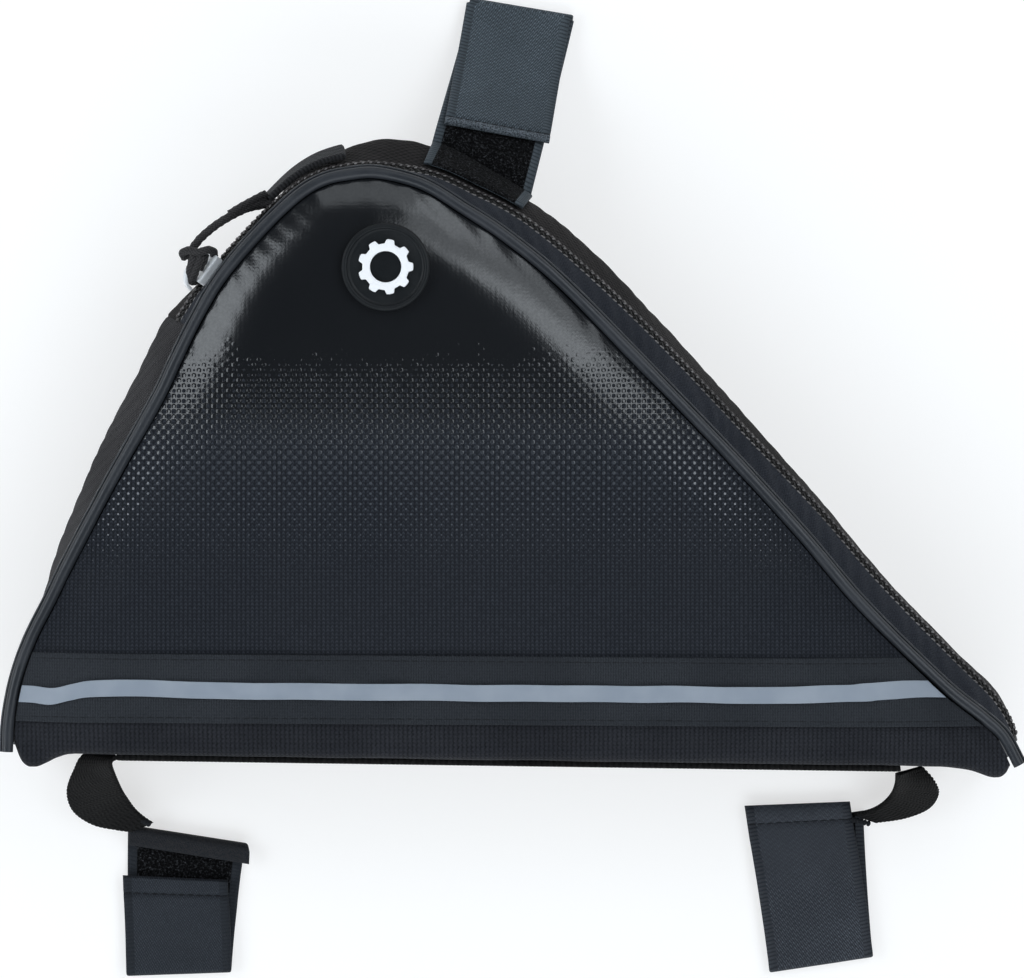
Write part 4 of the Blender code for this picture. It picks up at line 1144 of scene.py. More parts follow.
@dataclass
class Piping:
    """The satin piping in both seams: a round welt with the edge of its cover rolled beside it.

    The stem, the part of the cover caught in the seam, runs along the inner side of the welt.
    """

    form: Form
    finish: bpy.types.Material
    radius: float = 0.00165
    roll: float = 0.00042
    stem: float = 0.0010

    def build(self) -> list[bpy.types.Object]:
        """Sweep the welt, the roll and the stem along each seam."""
        made = []
        point, _, normal = self.form.at(np.linspace(0, 1, 520))
        run = run_lengths(point)
        tight = self.radius * (1 + 0.012 * np.sin(run / 0.0031) + 0.02 * ripple(run, run * 0, 0.03, 6))
        beside = point + normal * (self.radius + self.roll * 0.55)
        for face, height, side in (("front", self.form.front_seam, -1.0),
                                   ("back", self.form.back_seam, 1.0)):
            line = np.column_stack([point, height * np.ones(len(run))])
            edge = np.column_stack([beside, (height + side * 0.0002) * np.ones(len(run))])
            under = line + UP * side * (self.radius + self.stem / 2)
            welt = joined([tube(line, tight, 18), tube(edge, self.roll, 8), tube(under, self.stem, 6)])
            piece = welt.build(f"{face}_piping_welt", self.finish)
            made.append(dress(piece, "piping_cover", f"{face}_piping"))
        return made


# Zip, slider and pull

@dataclass
class Zip:
    """The closed coil of the zip: two rows of nylon loops, and the threads that sew them on.

    Where the side of the bag is steep, the coil turns up, so that it faces upwards by at least the
    share called upturn.
    """

    form: Form
    finishes: Finishes
    thickness: float = 0.0019
    pitch: float = 0.0021
    upturn: float = 0.55

    def line(self, count: int) -> tuple[Array, Array, Array, Array]:
        """Return the coil's centre line with its outward, downward and along directions."""
        share = np.linspace(self.form.zip_start, self.form.zip_end, count)
        _, _, zip_length = self.form.sections(share)
        frames = self.form.gusset(share, zip_length[:, None])
        place, outward, down, along = [v[:, 0] for v in frames]
        tilt = np.arcsin(self.upturn) - np.arcsin(np.clip(outward[:, 2:], -1, self.upturn))
        place = place + outward * self.form.gusset_wall * (tilt - 0.5)
        turned = outward * np.cos(tilt) - down * np.sin(tilt)
        return place, turned, down * np.cos(tilt) + outward * np.sin(tilt), along

    def build(self) -> list[bpy.types.Object]:
        """Make the coil, a flat core with slanting loops either side of it, and its threads."""
        width = self.form.chain_width
        centre, outward, down, _ = self.line(700)
        core = swept(ovals(centre, down * width * 0.47, outward * self.thickness * 0.26, turns(8)))
        run = run_lengths(centre)
        way = unit(np.gradient(centre, axis=0))

        def row(first: float, over: float, high: float, slant: float,
                size: tuple[float, float, float]) -> Solid:
            """Make a row of beads: at a share of the pitch, across and above the coil, at a slant."""
            wanted = np.arange(self.pitch * (first + 0.5), run[-1] - self.pitch, self.pitch)
            place, out, low, ahead = [between(wanted, run, v) for v in (centre, outward, down, way)]
            place = place + low * over * width + out * high * self.thickness
            long = unit(unit(ahead) + low * slant)
            return beads(place, long, unit(np.cross(long, out)), out, size, 6, 3)

        loop = (0.0020, 0.00085, 0.00100)
        coil = joined([core, row(0.0, -0.20, 0.22, -1.4, loop), row(0.25, 0.20, 0.22, 1.4, loop)]
                      ).build("zip_coil", self.finishes.coil)
        fine = (0.00100, 0.00055, 0.00055)
        knot = (0.00135, 0.00095, 0.00075)
        pale = joined([row(0.05, -0.44, 0.24, 0.5, fine), row(0.33, -0.44, 0.27, 0.5, fine),
                       row(0.45, 0.10, 0.44, 0.9, fine)]).build("zip_threads", self.finishes.sewing)
        dull = joined([row(0.10, 0.30, 0.28, 0.9, knot), row(0.60, 0.36, 0.22, -0.5, knot),
                       row(0.25, 0.52, 0.12, -0.4, knot)]).build("zip_knots", self.finishes.brown)
        return [dress(coil, "coil_plastic", "zip_chain"), dress(pale, "coil_plastic"),
                dress(dull, "coil_plastic")]


@dataclass
class Slider:
    """The metal slider: a flat-sided body with rounded edges, and a bridge for the cord."""

    zip: Zip
    finish: bpy.types.Material
    at: float = 0.326
    length: float = 0.0092
    width: float = 0.0078
    thickness: float = 0.0026
    ride: float = 0.0006
    bridge_height: float = 0.0042
    bridge_width: float = 0.0022
    upturn: float = 0.45

    def place(self) -> tuple[Array, Array, Array, Array]:
        """Return the slider's foot on the coil, and its outward, downward and along directions."""
        share = np.array([self.at])
        _, _, zip_length = self.zip.form.sections(share)
        foot, outward, down, along = [v[0, 0] for v in self.zip.form.gusset(share, zip_length[:, None])]
        tilt = max(0.0, float(np.arcsin(self.upturn) - np.arcsin(outward[2])))
        outward, down = (outward * np.cos(tilt) - down * np.sin(tilt),
                         down * np.cos(tilt) + outward * np.sin(tilt))
        lift = self.zip.thickness / 2 + self.ride - self.zip.form.gusset_wall / 2
        return foot + outward * lift, outward, down, along

    def build(self) -> bpy.types.Object:
        """Make the body from shield-shaped rings, and the bridge as a strip on a half ellipse."""
        foot, outward, down, along = self.place()
        knots = np.array([(-0.50, -0.36), (-0.50, 0.0), (-0.50, 0.36), (-0.44, 0.44), (-0.10, 0.47),
                          (0.30, 0.50), (0.44, 0.46), (0.50, 0.38), (0.50, 0.0), (0.50, -0.38),
                          (0.44, -0.46), (0.30, -0.50), (-0.10, -0.47), (-0.44, -0.44), (-0.50, -0.36)])
        shield = spline(knots, 5)[:-1]
        level = np.array([0.0, 0.04, 0.14, 0.30, 0.5, 0.72, 0.86, 0.96, 1.0, 1.0])
        size = np.array([0.90, 0.965, 1.0, 1.0, 0.985, 1.0, 1.0, 0.965, 0.90, 0.55])
        body = (foot + along * (shield[None, :, :1] * size[:, None, None] * self.length)
                + down * (shield[None, :, 1:] * size[:, None, None] * self.width)
                + outward * (level[:, None, None] * self.thickness))
        turn = np.linspace(0, pi, 25)
        reach = np.stack([np.cos(turn), np.sin(turn)], axis=1)
        spine = (foot + along * ((reach[:, :1] * 0.50 - 0.30) * self.length)
                 + outward * (self.thickness * 0.7 + reach[:, 1:] * self.bridge_height))
        thick = along * reach[:, :1] + outward * reach[:, 1:]
        corner = turns(12)
        over, high = [np.sign(wave) * np.abs(wave) ** 0.5 * self.bridge_width * share
                      for wave, share in ((np.cos(corner), 0.5), (np.sin(corner), 0.24))]
        bridge = spine[:, None] + down * over[None, :, None] + thick[:, None] * high[None, :, None]
        piece = joined([swept(body), swept(bridge)]).build("slider_body", self.finish, 32.0)
        return dress(piece, "slider_metal", "zip_slider")


@dataclass
class Pull:
    """The braided pull cord, its hitch round the slider's bridge, and the woven grip at its end.

    The hitch is four loops by the bridge and the two strands that run on to the grip.
    """

    form: Form
    finishes: Finishes
    radius: float = 0.0012
    tab_start: float = 0.382
    tab_end: float = 0.431
    tab_width: float = 0.0075
    tab_thickness: float = 0.0022
    tab_turn: float = 0.0006
    tab_lift: float = 0.00095
    tab_below: float = 0.0019
    braid_pitch: float = 0.0022
    route: tuple[tuple[float, float, float], ...] = (
        (-0.0921, 0.0652, 0.0386), (-0.0914, 0.0671, 0.0390), (-0.0902, 0.0691, 0.0389),
        (-0.0887, 0.0710, 0.0386), (-0.0867, 0.0729, 0.0382), (-0.0841, 0.0750, 0.0376),
        (-0.0812, 0.0769, 0.0370), (-0.0781, 0.0786, 0.0363), (-0.0748, 0.0801, 0.0356),
        (-0.0717, 0.0815, 0.0344), (-0.0702, 0.0826, 0.0329), (-0.0695, 0.0831, 0.0322),
    )
    hitch: tuple[tuple[tuple[float, float, float], ...], ...] = (
        ((-0.0900, 0.0672, 0.0405), (-0.0907, 0.0648, 0.0418), (-0.0915, 0.0618, 0.0408),
         (-0.0916, 0.0598, 0.0388), (-0.0908, 0.0596, 0.0360)),
        ((-0.0886, 0.0668, 0.0406), (-0.0888, 0.0646, 0.0420), (-0.0900, 0.0614, 0.0414),
         (-0.0910, 0.0590, 0.0392), (-0.0903, 0.0590, 0.0362)),
        ((-0.0872, 0.0664, 0.0400), (-0.0876, 0.0648, 0.0406), (-0.0890, 0.0622, 0.0400)),
        ((-0.0930, 0.0655, 0.0385), (-0.0936, 0.0668, 0.0398), (-0.0918, 0.0675, 0.0415),
         (-0.0890, 0.0669, 0.0426), (-0.0866, 0.0676, 0.0418), (-0.0850, 0.0673, 0.0400),
         (-0.0847, 0.0660, 0.0385)),
        ((-0.0805, 0.0780, 0.0372), (-0.0775, 0.0799, 0.0367), (-0.0740, 0.0819, 0.0358),
         (-0.0703, 0.0840, 0.0338)),
        ((-0.0795, 0.0785, 0.0366), (-0.0760, 0.0797, 0.0356), (-0.0715, 0.0807, 0.0344),
         (-0.0672, 0.0815, 0.0330)),
    )

    def braid(self, points: object, count: int, radius: float) -> Solid:
        """Make a braided cord: a tube whose radius is raised where two slanting sines both are."""
        path = smooth(points, count)
        side, upright = frames_along(path)
        turn = turns(20)
        half_phase = run_lengths(path)[:, None] * pi / self.braid_pitch
        strands = np.abs(np.sin(2.5 * turn + half_phase) * np.sin(2.5 * turn - half_phase))
        ring = ovals(np.zeros_like(path), side, upright, turn)
        return swept(path[:, None] + ring * (radius * (0.90 + 0.13 * strands))[..., None])

    def build_tab(self) -> bpy.types.Object:
        """Make the grip: a thick band with rounded ends that follows the gusset below the coil."""
        share = np.linspace(self.tab_start, self.tab_end, 60)
        _, _, zip_length = self.form.sections(share)
        first = zip_length + self.tab_below + 2 * self.form.gap
        end = np.minimum(share - self.tab_start, self.tab_end - share) / (self.tab_end - self.tab_start)
        narrow = 0.09 * self.tab_width * (1 - np.sqrt(np.clip(end / 0.04, 0, 1)))
        over = edge_rows(18, self.tab_width, 0.0012)
        down = (first + narrow)[:, None] + (self.tab_width - 2 * narrow)[:, None] * over
        place, outward, _, _ = self.form.gusset(share, down)
        grid = place + outward * (self.tab_lift + self.tab_turn * over**1.5)[:, None]
        tab = walled(grid, 0.0, self.tab_thickness, None, 0.25, 0.0011)
        return dress(tab.build("grip_tab", self.finishes.grip), "webbing_yarn", "pull_tab")

    def build(self) -> list[bpy.types.Object]:
        """Make the grip, the hitch and the cord."""
        tab = self.build_tab()
        loops = joined([self.braid(points, 60, self.radius) for points in self.hitch])
        hitch = loops.build("cord_hitch", self.finishes.braid)
        dress(hitch, "cord_braid")
        cord = self.braid(self.route, 150, self.radius * 1.02).build("braided_pull", self.finishes.braid)
        dress(cord, "cord_braid", "pull_cord")
        return [tab, hitch, cord]


# Trim

@dataclass
class Trim:
    """The ribbed ribbon over the front seam, its two sewn lines, and the reflective stripe on it.

    The wave table gives shares of the length from the middle, and how far the stripe lies below the
    ribbon's middle as a share of its width.
    """

    form: Form
    finishes: Finishes
    width: float = 0.0193
    rise: float = 0.0103
    slope: float = 0.0059
    thickness: float = 0.0008
    lift: float = 0.0004
    stripe: float = 0.0047
    stripe_thickness: float = 0.0004
    sewn_in: float = 0.0015
    sewn_width: float = 0.016
    sewn_depth: float = 0.00022
    ripple_height: float = 0.00020
    wave: tuple[tuple[float, float], ...] = (
        (-0.500, 0.40), (-0.485, 0.42), (-0.464, 0.52), (-0.443, 0.24), (-0.420, 0.02), (-0.360, 0.00),
        (-0.290, 0.12), (-0.170, 0.12), (0.000, 0.14), (0.300, 0.16), (0.400, 0.02), (0.430, -0.12),
        (0.500, -0.20),
    )

    def band(self, share: Array, drop: Array, width: float, over: Array, lift: float) -> Array:
        """Return a band of points across the front.

        Args:
            share: shares of the length from the middle.
            drop: how far the band's middle lies below the ribbon's, for each share.
            width: the band's width.
            over: places across it, from 0 at its upper edge to 1 at its lower edge.
            lift: its height above the front's face.
        Returns:
            Points, shares by places by 3.
        """
        form = self.form
        middle = form.base_line + self.rise + self.width / 2 - self.slope * share * form.length - drop
        y = middle[:, None] + (0.5 - over) * width
        left = form.side_x(y, -1, form.clear + form.gap)
        right = form.side_x(y, 1, form.clear + form.gap)
        x = left + (right - left) * (share[:, None] + 0.5)
        return np.stack([x, y, form.front_z(x, y) + lift], axis=-1)

    def build(self) -> list[bpy.types.Object]:
        """Make the ribbon, pressed in along its sewn lines, the stitches and the stripe."""
        share = np.linspace(-0.5, 0.5, 420)
        none = np.zeros_like(share)
        over = edge_rows(44, self.width, 0.0010)
        grid = self.band(share, none, self.width, over, self.lift)
        x, y = grid[..., 0], grid[..., 1]
        sewn = self.sewn_in / self.width
        groove = sum(np.exp(-((over - place) / self.sewn_width) ** 2) for place in (sewn, 1 - sewn))
        waves = self.ripple_height * ripple(x, y, 0.022, 14) * np.sin(pi * over)
        grid[..., 2] += waves - self.sewn_depth * groove
        lay = np.stack([x, (over * self.width) * np.ones_like(x), groove * np.ones_like(x)], axis=-1)
        band = walled(grid, -self.thickness, 0.0, lay, 0.3, 0.0005)
        ribbon = dress(band.build("front_ribbon_band", self.finishes.ribbon), "ribbed_cloth", "front_ribbon")
        rows = []
        for place in (sewn, 1 - sewn):
            line = self.band(share, none, self.width, np.array([place]), self.lift + self.thickness - 0.0002)
            rows.append(stitches(line[:, 0], np.tile(UP, (len(share), 1)), RIBBON_STITCH))
        sewing = joined(rows).build("ribbon_stitches", self.finishes.thread)
        dress(sewing, "ribbed_cloth")
        knots = smooth(self.wave, 200)
        drop = np.interp(share, knots[:, 0], knots[:, 1]) * self.stripe
        drop = drop + 0.00012 * ripple(share * self.form.length, none, 0.02, 17)
        over = edge_rows(12, self.stripe, 0.0003)
        lift = self.lift + self.thickness + self.form.gap
        grid = self.band(share, drop, self.stripe, over, lift)
        grid[..., 2] += 0.00006 * ripple(grid[..., 0], grid[..., 1], 0.012, 15)
        film = walled(grid, -self.stripe_thickness, 0.0, None, 0.4, 0.0002)
        stripe = film.build("stripe_film", self.finishes.reflective)
        dress(stripe, "reflective_film", "reflective_stripe")
        return [ribbon, sewing, stripe]


@dataclass
class Badge:
    """The round rubber badge with a raised rim, and a plain cog on its field."""

    form: Form
    finishes: Finishes
    x_share: float = -0.1247
    y_share: float = 0.838
    radius: float = 0.0124
    thickness: float = 0.0012
    rim: float = 0.0009
    lift: float = 0.0004
    cog: float = 0.0078
    hole: float = 0.0044
    teeth: int = 9

    def rings(self, reach: Array, height: Array) -> Array:
        """Return rings of points round the badge's middle, each on the front plus its own height."""
        turn = turns(reach.shape[1])
        x = self.x_share * self.form.length + reach * np.cos(turn)
        y = self.form.base_line + self.y_share * self.form.height + reach * np.sin(turn)
        return np.stack([x, y, self.form.front_z(x, y) + height[:, None]], axis=-1)

    def build(self) -> list[bpy.types.Object]:
        """Make the badge from its radial profile, and the cog with rounded teeth."""
        low = self.lift
        field_z = low + self.thickness
        top = field_z + self.rim
        out = self.radius
        turn = np.linspace(0, pi, 9)
        rim_r = out * 0.935 + out * 0.065 * np.cos(turn)
        rim_z = top - out * 0.05 + out * 0.05 * np.sin(turn)
        reach = np.concatenate([[0.01 * out, 0.5 * out, out * 0.985, out], rim_r, [out * 0.855, out * 0.84],
                                out * np.array([0.8, 0.6, 0.35, 0.01])])
        height = np.concatenate([[low, low, low, low + 0.0003], rim_z, [field_z + 0.00025, field_z],
                                 np.full(4, field_z)])
        rings = self.rings(reach[:, None] * np.ones(96), height)
        badge = swept(rings).build("badge_patch", self.finishes.rubber, 60.0)
        dress(badge, "badge_rubber", "badge")
        turn = turns(180)
        tooth = 1 / (1 + np.exp(-7 * np.cos(self.teeth * turn)))
        outer = self.cog * (0.84 + 0.16 * tooth)
        inner = self.hole * np.ones(180)
        base = field_z + self.form.gap
        high = base + self.rim - self.form.gap
        size = [inner + 0.0001, inner, inner + 0.00015, inner + 0.0004,
                outer - 0.0004, outer - 0.00012, outer, outer]
        level = [base, high - 0.0002, high - 0.00005, high, high, high - 0.00005, high - 0.0002, base]
        rings = self.rings(np.array(size), np.array(level))
        loops, sides = rings.shape[:2]
        points = rings.reshape(-1, 3)
        faces = grid_faces(loops, sides, True)
        index = np.arange(sides)
        close = np.stack([index + (loops - 1) * sides, (index + 1) % sides + (loops - 1) * sides,
                          (index + 1) % sides, index], axis=1)
        cog = Solid(points, [faces, close], points).build("plain_cog", self.finishes.white, 50.0)
        dress(cog, "emblem_white", "badge_cog")
        return [badge, cog]


# Webbing and straps

@dataclass
class Webbing:
    """The webbing sewn along the base, and its two ends, which twist down to the lower straps.

    Each row of a tail's table gives its two edges in webbing widths: sideways from the end of the
    base webbing, down from the base line, and height from the floor. The inner edge lags behind
    the outer one in the middle, so that the threads across the tail slant. Each tack is the line of
    knots that sews a tail to its strap.
    """

    form: Form
    finishes: Finishes
    width: float = 0.018
    thickness: float = 0.0016
    start: float = -0.3945
    end: float = 0.3870
    knob: float = 0.00115
    knob_height: float = 0.00016
    knob_width: float = 0.00022
    stitch_inset: float = 0.0019
    lag: float = 0.16
    tacks: tuple[tuple[float, ...], ...] = (
        (-0.1080, -0.0960, 0.0062, -0.1056, -0.0974, 0.0058),
        (0.0992, -0.0962, 0.0052, 0.1034, -0.0973, 0.0046),
    )
    left: tuple[tuple[float, ...], ...] = (
        (0.100, 0.000, 0.98, 0.000, 0.020, 1.95), (0.560, 0.030, 1.02, 0.080, 0.115, 1.86),
        (0.750, 0.300, 0.80, 0.040, 0.330, 1.50), (0.880, 0.640, 0.56, -0.030, 0.570, 1.10),
        (0.800, 0.960, 0.36, -0.100, 0.740, 0.76), (0.500, 1.180, 0.27, -0.210, 0.930, 0.50),
        (0.120, 1.270, 0.26, -0.350, 1.070, 0.34), (-0.110, 1.300, 0.25, -0.480, 1.160, 0.27),
    )
    right: tuple[tuple[float, ...], ...] = (
        (0.370, 0.030, 1.02, -0.070, 0.115, 1.86), (0.600, 0.280, 0.80, -0.070, 0.300, 1.50),
        (0.690, 0.490, 0.56, -0.110, 0.480, 1.10), (0.560, 0.730, 0.36, -0.230, 0.650, 0.76),
        (0.200, 0.890, 0.27, -0.400, 0.770, 0.48), (-0.280, 0.975, 0.19, -0.640, 0.845, 0.25),
    )

    def strip(self, grid: Array, lower: float, upper: float) -> Solid:
        """Make a length of webbing: knobs across it, and a selvedge drawn in by them."""
        lay = sheet_lay(grid)
        along, across = lay[..., 0], lay[..., 1]
        whole = np.maximum(across[:, -1:], 1e-6)
        knob = np.abs(np.sin(pi * along / self.knob)) - 0.6
        edge = np.exp(-np.minimum(across, whole - across) / 0.0008) * np.sign(across / whole - 0.5)
        over = unit(np.gradient(grid, axis=1))
        grid = grid + sheet_normals(grid) * (self.knob_height * knob)[..., None]
        grid = grid + over * (self.knob_width * knob * edge)[..., None]
        return walled(grid, lower, upper, lay, 0.25, 0.0011)

    def build(self) -> list[bpy.types.Object]:
        """Make the base strip with its stitches, and the two tails."""
        form, made = self.form, []
        middle = 0.5 * (form.front_seam + form.back_seam)
        over = edge_rows(8, self.width, 0.0012)
        x = np.linspace(self.start, self.end, 1100)[:, None] * form.length * np.ones(len(over))
        z = middle + (over - 0.5) * self.width * np.ones_like(x)
        grid = np.stack([x, form.base_y(x) - form.gap, z], axis=-1)
        strip = self.strip(grid, 0.0, self.thickness + 0.0005)
        base = strip.build("base_webbing_strip", self.finishes.webbing)
        made.append(dress(base, "webbing_yarn", "base_webbing"))
        rows = []
        for inset in (self.stitch_inset, self.width - self.stitch_inset):
            line = np.stack([x[:, 0], form.base_y(x[:, 0]) - form.gap - self.thickness - 0.0001,
                             middle - self.width / 2 + inset + 0 * x[:, 0]], axis=1)
            rows.append(stitches(line, np.tile([0.0, -1.0, 0.0], (len(line), 1)), WEBBING_STITCH))
        for node, table, end, side, tack in (("left_tail", self.left, self.start, -1, self.tacks[0]),
                                             ("right_tail", self.right, self.end, 1, self.tacks[1])):
            x_end = end * form.length + side * form.gap
            y_end = form.base_y(x_end) - form.gap - self.thickness / 2
            edges = smooth(table, 240) * self.width
            outer = np.column_stack([x_end + side * edges[:, 0], y_end - edges[:, 1], edges[:, 2]])
            at = np.linspace(0, 1, len(edges))
            behind = between(at - self.lag * np.sin(pi * at), at, edges[:, 3:])
            inner = np.column_stack([x_end + side * behind[:, 0], y_end - behind[:, 1], behind[:, 2]])
            over = edge_rows(30, self.width, 0.0012)[:, None]
            grid = outer[:, None] + (inner - outer)[:, None] * over
            grid[..., 2] = np.maximum(grid[..., 2], self.thickness / 2)
            tail = self.strip(grid, -self.thickness / 2, self.thickness / 2)
            made.append(dress(tail.build(f"{node}_webbing", self.finishes.webbing), "webbing_yarn", node))
            first, last = np.array(tack[:3]), np.array(tack[3:])
            knots = np.linspace(first, last, 5)
            over = np.tile(unit(last - first), (5, 1))
            up = np.tile(UP, (5, 1))
            rows.append(beads(knots, np.cross(over, up), over, up, TACK_KNOT, 7, 4))
        made.append(dress(joined(rows).build("webbing_stitches", self.finishes.thread), "webbing_yarn"))
        return made


def hem_stitches(name: str, line: Array, up: Array, lift: float,
                 thread: bpy.types.Material) -> bpy.types.Object:
    """Sew the stitches across a strap's hem, and dress them."""
    sewn = stitches((line + up * lift)[1:-1], up[1:-1], STRAP_STITCH)
    return dress(sewn.build(name, thread), "hook_and_loop")


@dataclass
class Strap:
    """One hook-and-loop strap below the base: it runs out, folds, and comes back on itself.

    Its line is given as lengths away from the root with heights; its shift moves the lower layer
    sideways and its skew cuts it at a slant, so that the layers don't lie squarely on each other.
    """

    finish: bpy.types.Material
    thread: bpy.types.Material
    name: str
    node: str
    origin: tuple[float, float]
    lean: float
    length: float
    flap_end: float
    shift: float
    skew: float
    skew_grows: bool
    start: float = 0.0
    flap_skew: float = 0.0
    hem_skew: float = 0.0
    hem_drop: float = 0.0
    hem_shift: float = 0.0
    flare: float = 0.0
    hem: float = 0.0
    hem_height: float = 0.0032
    width: float = 0.0305
    thickness: float = 0.0015
    layer_gap: float = 0.0005

    def line(self) -> Array:
        """Return the strap's line: length away from the root, height, and share of its own steps."""
        low = self.thickness / 2
        layer = self.thickness + self.layer_gap
        radius = layer / 2
        parts, shares, at = [], [], 0.0
        total = (5.0 if self.hem else 0.0) + 5 + 4 + 5 - 1

        def add(away: Array, height: Array, steps: float) -> None:
            """Add one part of the line, which holds some of its steps."""
            nonlocal at
            parts.append(np.stack([away, height * np.ones_like(away)], axis=1))
            shares.append((at + np.linspace(0, steps, len(away))) / total)
            at += steps

        if self.hem:
            roll = self.hem_height / 2
            add(np.linspace(self.hem, 0.0016, 8), np.full(8, low + self.hem_height), 1.0)
            turn = np.linspace(0, 0.97 * pi, 14)
            add(roll * (1 - np.sin(turn)), low + roll * (1 + np.cos(turn)), 4.0)
        add(np.linspace(self.hem_height / 2 + 0.0002 if self.hem else self.start, self.length - radius, 44),
            np.full(44, low), 4.5)
        turn = np.linspace(0, pi, 14)[1:-1]
        add(self.length - radius + radius * np.sin(turn), low + radius * (1 - np.cos(turn)), 4.5)
        add(np.linspace(self.length - radius, self.flap_end, 44), np.full(44, low + layer), 5.0)
        return np.column_stack([np.concatenate(parts), np.clip(np.concatenate(shares), 0, 1)])

    def build(self) -> list[bpy.types.Object]:
        """Make the strap, thicker at its sewn hem, and the stitches across that hem."""
        away, height, share = self.line().T
        over = edge_rows(30, self.width, 0.0009)
        s = over - 0.5
        lean = radians(self.lean)
        way = np.array([np.sin(lean), -np.cos(lean)])
        side = np.array([np.cos(lean), np.sin(lean)])
        fade = 1 - away / self.length
        shift = self.shift * fade * (1 - share)
        rolled = np.clip((0.42 - share) / 0.2, 0, 1)
        flapped = np.clip((share - 0.6) / 0.15, 0, 1)
        skew = self.skew * fade * (share if self.skew_grows else 1 - share)
        skew = skew + self.hem_skew * rolled + self.flap_skew * flapped * fade
        reach = away[:, None] + s * self.width * skew[:, None] + (self.hem_drop * rolled)[:, None]
        wide = self.width * (1 + self.flare * fade * (1 - share))
        beside = s * wide[:, None] + (shift - self.hem_shift * rolled)[:, None]
        flat = np.array(self.origin) + way * reach[..., None] + side * beside[..., None]
        wave = 0.00018 * ripple(reach, beside, 0.016, 51) * np.clip(away / self.length * 3, 0, 1)[:, None]
        z = height[:, None] + np.maximum(wave, 0) * (height[:, None] > self.thickness)
        grid = np.concatenate([flat, z[..., None]], axis=-1)
        top = share > 0.74
        hem = top * np.clip((self.flap_end + 0.0046 - away) / 0.0004, 0, 1)
        groove = top * np.exp(-((away - self.flap_end - 0.0050) / 0.0005) ** 2)
        half = self.thickness / 2
        inner = half * np.ones_like(away)
        outer = -half - 0.00045 * hem + 0.0006 * groove
        run = run_lengths(grid[:, len(s) // 2])[:, None] * np.ones(len(s))
        lay = np.stack([run, s * self.width * np.ones_like(run), np.zeros_like(run)], axis=-1)
        body = walled(grid, outer[:, None, None], inner[:, None, None], lay, 0.3, 0.0007)
        half_count = len(body.points) // 2
        body.lay[:half_count, 2] = 1.0
        if self.hem:
            body.lay[half_count:, 2] = np.repeat(np.where(share < 0.27, -1.0, 0.0), len(s))
        strap = body.build(self.name, self.finish)
        dress(strap, "hook_and_loop", self.node)
        row = int(np.argmin(np.abs(away - self.flap_end - 0.0050) + 1.0 * ~top))
        up = -sheet_normals(grid)[row]
        return [strap, hem_stitches(self.name + "_stitches", grid[row], up, half - 0.0003, self.thread)]


